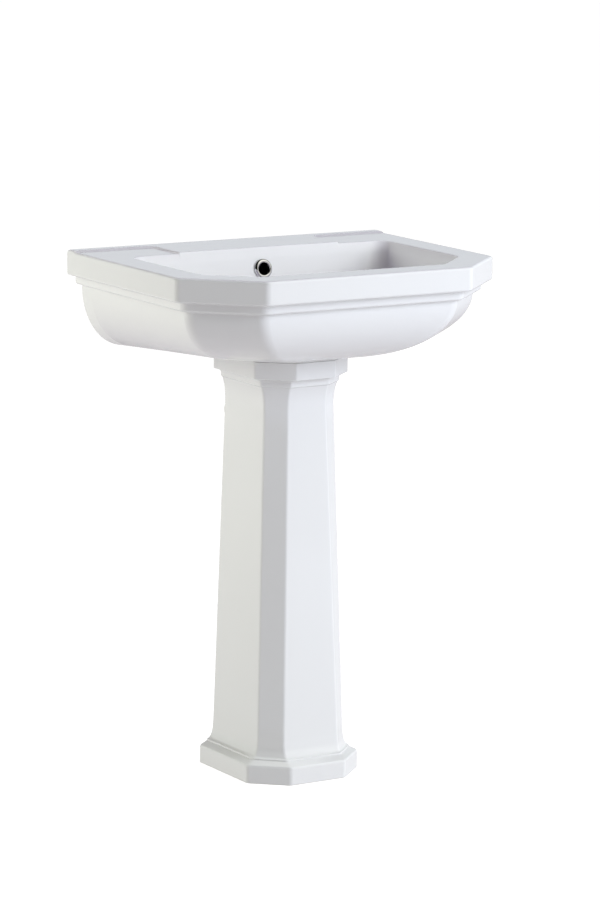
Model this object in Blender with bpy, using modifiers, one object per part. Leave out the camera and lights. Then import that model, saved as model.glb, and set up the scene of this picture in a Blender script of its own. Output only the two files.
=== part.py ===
"""Pedestal sink: a china basin on a china column, with its waste, trap and wall fixings.

+Z is up and the front faces -Y. The origin is on the floor, in the middle of the footprint.
Most places are given as a distance out from the wall, which out() turns into a Y coordinate.
Run it with: blender --background --python part.py
"""

import math

import bmesh
import bpy
from mathutils import Vector

# Basin
WIDTH = 0.600
DEPTH = 0.450
RIM_Z = 0.856
SEAT_Z = 0.6955
UNDER_Z = 0.700
BACK_LOW_Z = 0.694
BASE_BACK_HALF = 0.194
SIDE_LENGTH = 0.352
FRONT_WIDTH = 0.382
SLAB_BAND = 0.039
LOWER_BAND = 0.016
LOWER_BAND_INSET = 0.016
BODY_INSET = 0.028
BODY_TOP_Z = 0.797
SKIN = 0.012
BACK_CUT_HALF = 0.150
BACK_CUT_Z = 0.765
PLATFORM_RISE = 0.0025
PLATFORM_WIDTH = 0.308
LEDGE_DEPTH = 0.028

# Bowl
BOWL_BACK = 0.111
BOWL_SIDE_RIM = 0.054
BOWL_CHAMFER_RIM = 0.050
BOWL_FRONT_RIM = 0.050
BOWL_SHELL = 0.010
WALL_HIGH_DEPTH = 0.015
WALL_HIGH_GAP = 0.0090
WALL_LOW_DEPTH = 0.051
WALL_LOW_GAP = 0.0155
DRAIN_OUT = 0.205
DRAIN_Z = 0.735
DRAIN_HOLE_R = 0.023
SEAT_R = 0.0345
SEAT_DEPTH = 0.004
BOSS_R = 0.040
BOSS_Z = 0.697
OVERFLOW_Z = 0.8237
OVERFLOW_HOLE_R = 0.0125
DUCT_R = 0.0075
DUCT_Z = 0.713
DUCT_OUT = 0.103

# Pedestal
PED_BACK = 0.117
PED_TOP_Z = 0.6930
PED_WALL = 0.011
BACK_SLOT = 0.088

# Waste and plug
FLANGE_Z = DRAIN_Z - SEAT_DEPTH + 0.0021
FLANGE_R = 0.0325
TAIL_R = 0.0209
TAIL_BORE = 0.0180
TAIL_END_Z = 0.645
CARTRIDGE_R = 0.0070
CARTRIDGE_TOP_Z = 0.7270

# Trap
TRAP_OUTLET_Z = 0.577
OUTLET_END = 0.030
PIPE_R = 0.0160
PIPE_BORE = 0.0138
NOZZLE_LIP_R = 0.0206
SPIGOT_END = 0.068

# Wall fixings
BOLT_REACH = 0.050
BOLT_X = 0.140
BOLT_Z = 0.800
BOLT_R = 0.005

GAP = 0.0003
STEPS = 24

WALL_Y = (DEPTH - BOLT_REACH) / 2


def out(distance):
    """The Y coordinate of a place this far out from the wall."""
    return WALL_Y - distance


# ---------------------------------------------------------------- helpers


def clear_scene():
    for obj in list(bpy.data.objects):
        bpy.data.objects.remove(obj, do_unlink=True)


def new_collection(name):
    found = bpy.data.collections.new(name)
    bpy.context.scene.collection.children.link(found)
    return found


def make_material(name, colour, roughness, metallic=0.0):
    made = bpy.data.materials.new(name)
    made.use_nodes = True
    shader = made.node_tree.nodes["Principled BSDF"]
    shader.inputs["Base Color"].default_value = (*colour, 1.0)
    shader.inputs["Roughness"].default_value = roughness
    shader.inputs["Metallic"].default_value = metallic
    return made


def place(obj, collection, material=None):
    """Links the object, and gives a part its material or a cutter its hidden look."""
    collection.objects.link(obj)
    if material:
        obj.data.materials.append(material)
    else:
        obj.hide_render = True
        obj.display_type = "WIRE"
    return obj


def mesh_object(name, bm):
    bmesh.ops.recalc_face_normals(bm, faces=bm.faces)
    mesh = bpy.data.meshes.new(name)
    bm.to_mesh(mesh)
    bm.free()
    return bpy.data.objects.new(name, mesh)


def inset(corners, gaps):
    """Moves each edge of a convex outline inwards; gaps[i] is for the edge from corner i to i + 1."""
    count = len(corners)
    lines = []
    for i, gap in enumerate(gaps):
        start = Vector(corners[i])
        along = (Vector(corners[(i + 1) % count]) - start).normalized()
        inward = Vector((-along.y, along.x))
        lines.append((start + inward * gap, along))
    moved = []
    for i in range(count):
        point, along = lines[i - 1]
        other, other_along = lines[i]
        reach = (other - point).cross(other_along) / along.cross(other_along)
        moved.append(point + along * reach)
    return moved


def rounded(corners, radii, z, steps, middle=None):
    """A ring at height z: the outline with its corners rounded to these radii.

    Where middle is given, the same arcs lie round that point, so they make one circle.
    """
    count = len(corners)
    ring = []
    for i in range(count):
        before = (Vector(corners[i]) - Vector(corners[i - 1])).normalized()
        after = (Vector(corners[(i + 1) % count]) - Vector(corners[i])).normalized()
        turn = before.angle_signed(after)
        radius = radii[i]
        start = Vector(corners[i]) - before * radius * math.tan(abs(turn) / 2)
        centre = Vector(middle) if middle else start + Vector((-before.y, before.x)) * radius
        first = math.atan2(-before.x, before.y)
        for k in range(steps + 1):
            angle = first + abs(turn) * k / steps
            arm = Vector((math.cos(angle), math.sin(angle))) * radius
            ring.append(Vector((centre.x + arm.x, centre.y + arm.y, z)))
    return ring


def loft(name, rings):
    """A closed solid through rings that all have the same number of points."""
    bm = bmesh.new()
    loops = [[bm.verts.new(point) for point in ring] for ring in rings]
    count = len(rings[0])
    for lower, upper in zip(loops, loops[1:]):
        for i in range(count):
            j = (i + 1) % count
            bm.faces.new((lower[i], lower[j], upper[j], upper[i]))
    bm.faces.new(loops[0])
    bm.faces.new(loops[-1])
    bmesh.ops.remove_doubles(bm, verts=bm.verts, dist=0.000001)
    return mesh_object(name, bm)


def to_mesh(curve_object):
    """Replaces a curve object by a mesh object with welded caps and no transform of its own."""
    bpy.context.scene.collection.objects.link(curve_object)
    bpy.context.view_layer.update()
    graph = bpy.context.evaluated_depsgraph_get()
    mesh = bpy.data.meshes.new_from_object(curve_object.evaluated_get(graph))
    bm = bmesh.new()
    bm.from_mesh(mesh)
    bmesh.ops.remove_doubles(bm, verts=bm.verts, dist=0.00001)
    bm.to_mesh(mesh)
    bm.free()
    mesh.transform(curve_object.matrix_world)
    name = curve_object.name
    bpy.data.objects.remove(curve_object)
    return bpy.data.objects.new(name, mesh)


def prism(name, corners, low_z, high_z):
    """A flat outline extruded from low_z to high_z."""
    curve = bpy.data.curves.new(name, "CURVE")
    curve.dimensions = "2D"
    curve.fill_mode = "BOTH"
    curve.extrude = (high_z - low_z) / 2
    spline = curve.splines.new("POLY")
    spline.points.add(len(corners) - 1)
    for point, (x, y) in zip(spline.points, corners):
        point.co = (x, y, 0.0, 1.0)
    spline.use_cyclic_u = True
    obj = bpy.data.objects.new(name, curve)
    obj.location.z = (high_z + low_z) / 2
    return to_mesh(obj)


def tube(name, points, radius, resolution=3):
    """A round rod along a line of points, with filled ends."""
    curve = bpy.data.curves.new(name, "CURVE")
    curve.dimensions = "3D"
    curve.bevel_depth = radius
    curve.bevel_resolution = resolution
    curve.use_fill_caps = True
    spline = curve.splines.new("POLY")
    spline.points.add(len(points) - 1)
    for point, co in zip(spline.points, points):
        point.co = (*co, 1.0)
    return to_mesh(bpy.data.objects.new(name, curve))


def box(name, low, high):
    bm = bmesh.new()
    bmesh.ops.create_cube(bm, size=1.0)
    for vert in bm.verts:
        for axis in range(3):
            middle = (low[axis] + high[axis]) / 2
            vert.co[axis] = middle + vert.co[axis] * (high[axis] - low[axis])
    return mesh_object(name, bm)


def turned(name, profile, closed, steps=STEPS):
    """A profile of (radius, z) pairs, outer side top to bottom, turned about Z.

    A closed profile makes a ring; an open one starts and ends on the axis.
    """
    bm = bmesh.new()
    verts = [bm.verts.new((radius, 0.0, z)) for radius, z in profile]
    for first, second in zip(verts, verts[1:]):
        bm.edges.new((first, second))
    if closed:
        bm.edges.new((verts[-1], verts[0]))
    mesh = bpy.data.meshes.new(name)
    bm.to_mesh(mesh)
    bm.free()
    obj = bpy.data.objects.new(name, mesh)
    screw = obj.modifiers.new("turn", "SCREW")
    screw.steps = steps
    screw.render_steps = steps
    screw.use_merge_vertices = True
    screw.merge_threshold = 0.00001
    screw.use_smooth_shade = True
    return obj


def ring_profile(outer, inner, high_z, low_z):
    return [(outer, high_z), (outer, low_z), (inner, low_z), (inner, high_z)]


def hexagon(across_flats):
    radius = across_flats / math.sqrt(3)
    angles = [math.radians(60 * k) for k in range(6)]
    return [(radius * math.cos(angle), radius * math.sin(angle)) for angle in angles]


def combine(target, other, operation):
    step = target.modifiers.new(other.name, "BOOLEAN")
    step.operation = operation
    step.object = other
    step.solver = "EXACT"


def cut(target, *cutters):
    for cutter in cutters:
        combine(target, cutter, "DIFFERENCE")


def join(target, *others):
    for other in others:
        combine(target, other, "UNION")


# ---------------------------------------------------------------- outlines


def outline(half_width, side_length, front_half, depth, back=0.0):
    """Six corners, counter-clockwise from the back left: back, side, chamfer, front, chamfer, side."""
    return [
        (-half_width, out(back)),
        (-half_width, out(side_length)),
        (-front_half, out(depth)),
        (front_half, out(depth)),
        (half_width, out(side_length)),
        (half_width, out(back)),
    ]


def sides_inset(corners, gap, back_gap=0.0):
    """Insets an outline by gap all round, but by back_gap at the back."""
    return inset(corners, [gap] * 5 + [back_gap])


def blend(first, second, share):
    return [Vector(a).lerp(Vector(b), share) for a, b in zip(first, second)]


SLAB = outline(WIDTH / 2, SIDE_LENGTH, FRONT_WIDTH / 2, DEPTH)
BASE = outline(0.100, 0.250, 0.046, 0.300)
BASE[0] = (-BASE_BACK_HALF, out(0.0))
BASE[5] = (BASE_BACK_HALF, out(0.0))
BODY = sides_inset(SLAB, BODY_INSET)
RIMS = [BOWL_SIDE_RIM, BOWL_CHAMFER_RIM, BOWL_FRONT_RIM, BOWL_CHAMFER_RIM, BOWL_SIDE_RIM, BOWL_BACK]
OPENING = inset(SLAB, RIMS)
DRAIN = (0.0, out(DRAIN_OUT))

COLLAR = outline(0.090, 0.246, 0.037, 0.290, PED_BACK)
NECK = outline(0.0672, 0.2405, 0.0358, 0.264, PED_BACK)
ANKLE = outline(0.0828, 0.261, 0.0520, 0.2930, PED_BACK)
PLINTH = outline(0.1077, 0.2695, 0.0523, 0.3175, PED_BACK)


# ---------------------------------------------------------------- basin


def skirt_rings(gap, steps):
    """The curved body under the mouldings, inset by gap: a quarter ellipse, a little deeper at the back."""
    quarter = 7
    drop = BODY_TOP_Z - UNDER_Z - gap
    extra = UNDER_Z - BACK_LOW_Z
    rings = []
    for k in range(quarter + 1):
        angle = math.pi / 2 * k / quarter
        section = sides_inset(blend(BODY, BASE, 1 - math.cos(angle)), gap, gap)
        radius = 0.008 + 0.012 * math.sin(angle)
        z = BODY_TOP_Z - drop * math.sin(angle)
        ring = rounded(section, [0.002, radius, radius, radius, radius, 0.002], z, steps)
        for i in range(-steps - 1, steps + 1):  # the points of the two back corners
            ring[i].z -= extra * math.sin(angle)
        rings.append(ring)
    lid = sides_inset(BASE, gap + 0.012, gap + 0.012)
    rings.append(rounded(lid, [0.002, 0.014, 0.014, 0.014, 0.014, 0.002], UNDER_Z + gap, steps))
    return rings


def slab_ring(gap, back_gap, z):
    return rounded(sides_inset(SLAB, gap, back_gap), [0.002, 0.006, 0.006, 0.006, 0.006, 0.002], z, 2)


def basin_hollow():
    """The space under the deck, which keeps SKIN of china behind each moulding."""
    band_z = RIM_Z - SLAB_BAND
    lower_z = band_z - LOWER_BAND
    levels = [
        (RIM_Z - 0.014, SKIN + 0.002),
        (band_z + SKIN + 0.001, SKIN + 0.002),
        (band_z + SKIN - 0.002, LOWER_BAND_INSET + SKIN),
        (lower_z + SKIN - 0.001, LOWER_BAND_INSET + SKIN),
        (lower_z + 0.004, BODY_INSET + SKIN),
    ]
    return loft("hollow", [slab_ring(gap, SKIN, z) for z, gap in levels] + skirt_rings(SKIN, 2))


def basin_outside():
    band_z = RIM_Z - SLAB_BAND
    lower_z = band_z - LOWER_BAND
    mouldings = [
        (RIM_Z, 0.0025),
        (RIM_Z - 0.0025, 0.0),
        (band_z + 0.002, 0.0),
        (band_z, 0.002),
        (band_z - 0.001, LOWER_BAND_INSET - 0.002),
        (band_z - 0.003, LOWER_BAND_INSET),
        (lower_z + 0.002, LOWER_BAND_INSET),
        (lower_z, LOWER_BAND_INSET + 0.002),
        (lower_z - 0.001, BODY_INSET - 0.002),
    ]
    return loft("basin", [slab_ring(gap, 0.0, z) for z, gap in mouldings] + skirt_rings(0.0, 2))


# The bowl's walls: (depth under the rim, inset from the opening, corner radius).
BOWL_WALLS = [
    (0.000, 0.000, 0.026),
    (0.003, 0.0015, 0.026),
    (0.008, 0.006, 0.028),
    (WALL_HIGH_DEPTH, WALL_HIGH_GAP, 0.032),
    (WALL_LOW_DEPTH, WALL_LOW_GAP, 0.056),
    (0.067, 0.0215, 0.074),
]
# The bowl's floor: (share of the way from the walls' foot to the waste, depth under the rim).
BOWL_FLOOR = [(0.06, 0.080), (0.16, 0.092), (0.31, 0.104), (0.52, 0.113), (0.76, 0.118), (1.0, 0.121)]


def bowl_rings(shell, top_z):
    """The bowl's inside, or its outside where shell is a thickness, from above the rim to the waste."""
    steps = 5
    walls_depth = BOWL_WALLS[-1][0]
    rings = []
    for depth, gap, radius in BOWL_WALLS:
        section = inset(OPENING, [gap - shell] * 6)
        z = RIM_Z - depth - shell * depth / walls_depth
        rings.append(rounded(section, [radius + shell] * 6, z, steps))
    rings.insert(0, [point + Vector((0, 0, top_z - RIM_Z)) for point in rings[0]])
    wall = rings[-1]
    circle = rounded(section, [SEAT_R + 0.003] * 6, 0.0, steps, middle=DRAIN)
    for share, depth in BOWL_FLOOR:
        z = RIM_Z - depth - shell
        ring = []
        for point, target in zip(wall, circle):
            flat = point.lerp(target, share)
            ring.append(Vector((flat.x, flat.y, z)))
        rings.append(ring)
    return rings


def overflow_tilt():
    """The lean of the bowl's back wall where the overflow is, from the levels of bowl_rings."""
    return math.atan2(WALL_LOW_GAP - WALL_HIGH_GAP, WALL_LOW_DEPTH - WALL_HIGH_DEPTH)


def overflow_out():
    """How far the bowl's back wall is from the wall at the height of the overflow."""
    depth = RIM_Z - OVERFLOW_Z
    return BOWL_BACK + WALL_HIGH_GAP + (depth - WALL_HIGH_DEPTH) * math.tan(overflow_tilt())


def duct_path():
    """The middle line of the overflow's passage, from the bowl's back wall down to the waste."""
    back = DUCT_OUT
    hole = overflow_out()
    turn = 0.010
    return [
        (0, out(hole + 0.004), OVERFLOW_Z),
        (0, out(back + turn), OVERFLOW_Z),
        (0, out(back + turn * 0.3), OVERFLOW_Z - turn * 0.3),
        (0, out(back), OVERFLOW_Z - turn),
        (0, out(back), DUCT_Z + turn),
        (0, out(back + turn * 0.3), DUCT_Z + turn * 0.3),
        (0, out(back + turn), DUCT_Z),
        (0, out(DRAIN_OUT), DUCT_Z),
    ]


def platform_ring(gap, z):
    """The T of the back ledge and the tap platform, drawn in by gap."""
    ledge_x = WIDTH / 2 - 0.003 - gap
    ledge_y = out(LEDGE_DEPTH - gap)
    tap_x = PLATFORM_WIDTH / 2 - gap
    back_y = out(0.002 + gap)
    front_y = out(BOWL_BACK + 0.020)
    half = [(tap_x, front_y), (tap_x, ledge_y), (ledge_x, ledge_y), (ledge_x, back_y)]
    outline_points = [(-x, y) for x, y in reversed(half)] + half
    return [Vector((x, y, z)) for x, y in outline_points]


def build_basin(parts, cutters, china):
    basin = basin_outside()
    platform_levels = [(0.0, RIM_Z - 0.010), (0.0, RIM_Z), (0.0012, RIM_Z + PLATFORM_RISE)]
    platform = loft("platform", [platform_ring(gap, z) for gap, z in platform_levels])
    seat = prism("seat", COLLAR, SEAT_Z, UNDER_Z + SKIN - 0.002)
    join(basin, place(platform, cutters), place(seat, cutters))

    hollow = place(basin_hollow(), cutters)
    way_in = outline(0.066, 0.235, 0.030, 0.266, -0.020)
    floor_cut = place(prism("floor_cut", way_in, SEAT_Z - 0.010, UNDER_Z + SKIN + 0.006), cutters)
    back_low = (-BACK_CUT_HALF, out(SKIN + 0.006), UNDER_Z + SKIN + 0.003)
    back_cut = place(box("back_cut", back_low, (BACK_CUT_HALF, out(-0.010), BACK_CUT_Z)), cutters)
    shell = place(loft("bowl_shell", bowl_rings(BOWL_SHELL, RIM_Z + 0.010)), cutters)
    boss_profile = [(0.0, DRAIN_Z - 0.002), (BOSS_R, DRAIN_Z - 0.002), (BOSS_R, BOSS_Z), (0.0, BOSS_Z)]
    boss = place(turned("boss", boss_profile, closed=False), cutters)
    boss.location = (*DRAIN, 0.0)
    rib_y = out(DUCT_OUT - DUCT_R - 0.006)
    upper_high = (0.020, rib_y, OVERFLOW_Z + 0.017)
    rib_upper = place(box("rib_upper", (-0.020, out(BOWL_BACK + 0.030), DUCT_Z), upper_high), cutters)
    lower_high = (0.018, rib_y, DRAIN_Z - 0.004)
    rib_lower = place(box("rib_lower", (-0.018, out(DRAIN_OUT), BOSS_Z + 0.0015), lower_high), cutters)
    join(hollow, floor_cut, back_cut)
    cut(hollow, shell, boss, rib_upper, rib_lower)

    bowl = place(loft("bowl", bowl_rings(0.0, RIM_Z + 0.020)), cutters)
    seat_profile = [
        (0.0, DRAIN_Z + 0.010),
        (SEAT_R, DRAIN_Z + 0.010),
        (SEAT_R, DRAIN_Z - SEAT_DEPTH),
        (DRAIN_HOLE_R, DRAIN_Z - SEAT_DEPTH),
        (DRAIN_HOLE_R, BOSS_Z - 0.010),
        (0.0, BOSS_Z - 0.010),
    ]
    drain = place(turned("drain", seat_profile, closed=False), cutters)
    drain.location = (*DRAIN, 0.0)
    duct = place(tube("duct", duct_path(), DUCT_R), cutters)
    overflow_profile = [(0.0, 0.012), (OVERFLOW_HOLE_R, 0.012), (OVERFLOW_HOLE_R, -0.015), (0.0, -0.015)]
    overflow = place(turned("overflow_hole", overflow_profile, closed=False), cutters)
    overflow.location = (0.0, out(overflow_out()), OVERFLOW_Z)
    overflow.rotation_euler.x = math.pi / 2 - overflow_tilt()

    cut(basin, hollow, bowl, drain, duct, overflow)
    for side in (-1, 1):
        hole_profile = [(0.0, 0.020), (0.009, 0.020), (0.009, -0.010), (0.0, -0.010)]
        hole = place(turned("bolt_hole", hole_profile, closed=False, steps=16), cutters)
        hole.location = (side * BOLT_X, out(0.0), BOLT_Z)
        hole.rotation_euler.x = math.pi / 2
        cut(basin, hole)
    place(basin, parts, china)


def build_overflow_ring(parts, chrome):
    profile = [
        (0.0110, 0.0040),
        (0.0135, 0.0042),
        (0.0155, 0.0030),
        (0.0165, 0.0008),
        (0.0165, 0.0003),
        (0.0120, 0.0003),
        (0.0120, -0.0080),
        (0.0105, -0.0080),
        (0.0105, 0.0032),
    ]
    ring = turned("overflow_ring", profile, closed=True, steps=32)
    ring.location = (0.0, out(overflow_out()), OVERFLOW_Z)
    ring.rotation_euler.x = math.pi / 2 - overflow_tilt()
    place(ring, parts, chrome)


# ---------------------------------------------------------------- pedestal


def pedestal_rings():
    """From the collar's top to the floor: each level blends two outlines."""
    levels = [
        (PED_TOP_Z, NECK, COLLAR, 0.97),
        (PED_TOP_Z - 0.001, NECK, COLLAR, 1.0),
        (0.6665, NECK, COLLAR, 1.0),
        (0.6648, NECK, COLLAR, 0.94),
        (0.6625, NECK, COLLAR, 0.56),
        (0.6590, NECK, COLLAR, 0.41),
        (0.6525, NECK, COLLAR, 0.38),
        (0.6505, NECK, COLLAR, 0.27),
        (0.6440, NECK, COLLAR, 0.18),
        (0.6360, NECK, COLLAR, 0.09),
        (0.6270, NECK, COLLAR, 0.03),
        (0.6150, NECK, COLLAR, 0.0),
        (0.0640, ANKLE, PLINTH, 0.0),
        (0.0500, ANKLE, PLINTH, 0.10),
        (0.0400, ANKLE, PLINTH, 0.36),
        (0.0370, ANKLE, PLINTH, 0.46),
        (0.0355, ANKLE, PLINTH, 0.62),
        (0.0310, ANKLE, PLINTH, 0.84),
        (0.0270, ANKLE, PLINTH, 0.97),
        (0.0240, ANKLE, PLINTH, 1.0),
        (0.0010, ANKLE, PLINTH, 1.0),
        (0.0, ANKLE, PLINTH, 0.98),
    ]
    rings = []
    for z, inner, outer, share in levels:
        radii = [0.002, 0.004, 0.004, 0.004, 0.004, 0.002]
        rings.append(rounded(blend(inner, outer, share), radii, z, 2))
    return rings


def pedestal_hollow_rings():
    levels = [
        (PED_TOP_Z + 0.010, COLLAR),
        (0.672, COLLAR),
        (0.640, NECK),
        (0.600, NECK),
        (0.060, ANKLE),
        (0.035, ANKLE),
        (0.022, PLINTH),
        (0.014, PLINTH),
    ]
    rings = []
    for z, section in levels:
        radii = [0.003, 0.006, 0.006, 0.006, 0.006, 0.003]
        rings.append(rounded(sides_inset(section, PED_WALL, PED_WALL), radii, z, 2))
    return rings


def build_pedestal(parts, cutters, china):
    pedestal = loft("pedestal", pedestal_rings())
    hollow = place(loft("pedestal_hollow", pedestal_hollow_rings()), cutters)
    slot_low = (-BACK_SLOT / 2, out(PED_BACK + PED_WALL + 0.004), -0.010)
    slot_high = (BACK_SLOT / 2, out(PED_BACK - 0.010), PED_TOP_Z + 0.010)
    slot = place(box("back_slot", slot_low, slot_high), cutters)
    foot = outline(0.072, 0.235, 0.030, 0.272, PED_BACK + PED_WALL)
    foot_cut = place(prism("foot_cut", foot, -0.010, 0.020), cutters)
    join(hollow, slot, foot_cut)
    cut(pedestal, hollow)
    for side in (-1, 1):
        lug_profile = [(0.0, 0.030), (0.004, 0.030), (0.004, -0.010), (0.0, -0.010)]
        lug = place(turned("lug_hole", lug_profile, closed=False, steps=12), cutters)
        lug.location = (side * 0.084, out(0.175), 0.0)
        cut(pedestal, lug)
    place(pedestal, parts, china)


def build_gasket(parts, cutters, silicone):
    low_z = PED_TOP_Z + GAP
    high_z = SEAT_Z - GAP
    outer = sides_inset(COLLAR, 0.0015, 0.0015)
    inner = inset(COLLAR, [0.0095] * 5 + [-0.010])
    gasket = prism("pedestal_gasket", outer, low_z, high_z)
    middle = place(prism("gasket_middle", inner, low_z - 0.001, high_z + 0.001), cutters)
    cut(gasket, middle)
    place(gasket, parts, silicone)


# ---------------------------------------------------------------- waste and plug


def at_drain(obj):
    obj.location = (*DRAIN, 0.0)
    return obj


def build_waste(parts, cutters, mats):
    flange_top = FLANGE_Z + 0.0025
    profile = [
        (FLANGE_R - 0.001, flange_top),
        (FLANGE_R, flange_top - 0.001),
        (FLANGE_R, FLANGE_Z),
        (TAIL_R, FLANGE_Z),
        (TAIL_R, TAIL_END_Z),
        (TAIL_BORE, TAIL_END_Z),
        (TAIL_BORE, FLANGE_Z - 0.006),
        (TAIL_BORE + 0.0012, FLANGE_Z - 0.001),
        (0.0245, flange_top - 0.0008),
        (0.0262, flange_top),
    ]
    waste = at_drain(turned("waste_body", profile, closed=True))
    bar_z = 0.7115
    across = TAIL_BORE + 0.0015
    x, y = DRAIN
    bars = [
        box("bar_x", (x - across, y - 0.0025, bar_z - 0.004), (x + across, y + 0.0025, bar_z)),
        box("bar_y", (x - 0.0025, y - across, bar_z - 0.004), (x + 0.0025, y + across, bar_z)),
    ]
    hub_r = CARTRIDGE_R + 0.0025
    hub_profile = [(0.0, bar_z), (hub_r, bar_z), (hub_r, bar_z - 0.005), (0.0, bar_z - 0.005)]
    hub = at_drain(turned("hub", hub_profile, closed=False, steps=16))
    bore_profile = [(0.0, 0.740), (CARTRIDGE_R + GAP, 0.740), (CARTRIDGE_R + GAP, 0.690), (0.0, 0.690)]
    hub_bore = at_drain(turned("hub_bore", bore_profile, closed=False, steps=16))
    join(waste, *[place(bar, cutters) for bar in bars], place(hub, cutters))
    cut(waste, place(hub_bore, cutters))
    for k in range(4):
        window = box("overflow_window", (0.0165, -0.005, -0.008), (0.024, 0.005, 0.006))
        window.location = (x, y, DUCT_Z)
        window.rotation_euler.z = math.radians(45 + 90 * k)
        cut(waste, place(window, cutters))
    place(waste, parts, mats["chrome"])

    seat_z = DRAIN_Z - SEAT_DEPTH
    top_seal = ring_profile(0.0315, TAIL_R + GAP, FLANGE_Z - GAP, seat_z + GAP)
    place(at_drain(turned("waste_top_seal", top_seal, closed=True)), parts, mats["rubber"])
    z = BOSS_Z - GAP
    bottom_seal = [(0.0300, z), (0.0270, z - 0.005), (TAIL_R + GAP, z - 0.005), (TAIL_R + GAP, z)]
    place(at_drain(turned("waste_bottom_seal", bottom_seal, closed=True)), parts, mats["rubber"])
    z -= 0.005 + GAP
    washer = ring_profile(0.0290, TAIL_R + GAP, z, z - 0.002)
    place(at_drain(turned("waste_washer", washer, closed=True)), parts, mats["plastic"])
    z -= 0.002 + GAP
    nut = hex_nut("waste_backnut", 0.054, TAIL_R + GAP, z - 0.009, z, cutters)
    place(at_drain(nut), parts, mats["brass"])


def hex_nut(name, across_flats, bore, low_z, high_z, cutters):
    nut = prism(name, hexagon(across_flats), low_z, high_z)
    profile = [(0.0, high_z + 0.005), (bore, high_z + 0.005), (bore, low_z - 0.005), (0.0, low_z - 0.005)]
    hole = turned(name + "_bore", profile, closed=False)
    hole.parent = nut
    cut(nut, place(hole, cutters))
    return nut


def build_plug(parts, cutters, mats):
    seal_z = FLANGE_Z + 0.0025 + GAP
    low_z = seal_z + 0.0015 + GAP
    cap_profile = [
        (0.0, low_z + 0.0070),
        (0.012, low_z + 0.0064),
        (0.022, low_z + 0.0045),
        (0.0285, low_z + 0.0020),
        (0.0300, low_z + 0.0008),
        (0.0295, low_z),
        (0.0060, low_z),
        (0.0060, low_z - 0.0040),
        (0.0033, low_z - 0.0040),
        (0.0033, low_z + 0.0020),
        (0.0, low_z + 0.0020),
    ]
    place(at_drain(turned("plug_cap", cap_profile, closed=False, steps=32)), parts, mats["chrome"])
    seal_profile = ring_profile(0.0285, 0.0063, seal_z + 0.0015, seal_z)
    place(at_drain(turned("plug_seal", seal_profile, closed=True)), parts, mats["rubber"])
    stem_low = CARTRIDGE_TOP_Z - 0.0200
    stem_profile = [
        (0.0, low_z + 0.0017),
        (0.0030, low_z + 0.0017),
        (0.0030, stem_low + 0.003),
        (0.0040, stem_low + 0.003),
        (0.0040, stem_low),
        (0.0, stem_low),
    ]
    place(at_drain(turned("plug_stem", stem_profile, closed=False, steps=16)), parts, mats["brass"])

    cartridge_low = CARTRIDGE_TOP_Z - 0.0360
    bore = 0.0043
    cartridge_profile = [
        (0.0, cartridge_low + 0.002),
        (bore, cartridge_low + 0.002),
        (bore, CARTRIDGE_TOP_Z - 0.0025),
        (0.0033, CARTRIDGE_TOP_Z - 0.0025),
        (0.0033, CARTRIDGE_TOP_Z),
        (CARTRIDGE_R, CARTRIDGE_TOP_Z),
        (CARTRIDGE_R, cartridge_low),
        (0.0, cartridge_low),
    ]
    cartridge = turned("click_cartridge", cartridge_profile, closed=False, steps=16)
    place(at_drain(cartridge), parts, mats["plastic"])

    spring_low = cartridge_low + 0.002 + GAP + 0.0006
    spring_high = stem_low - GAP - 0.0006
    coil_r = 0.0032
    turns = 5
    per_turn = 12
    points = []
    for k in range(turns * per_turn + 1):
        angle = 2 * math.pi * k / per_turn
        z = spring_low + (spring_high - spring_low) * k / (turns * per_turn)
        points.append((DRAIN[0] + coil_r * math.cos(angle), DRAIN[1] + coil_r * math.sin(angle), z))
    place(tube("click_spring", points, 0.0005, resolution=1), parts, mats["steel"])


# ---------------------------------------------------------------- trap


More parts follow.
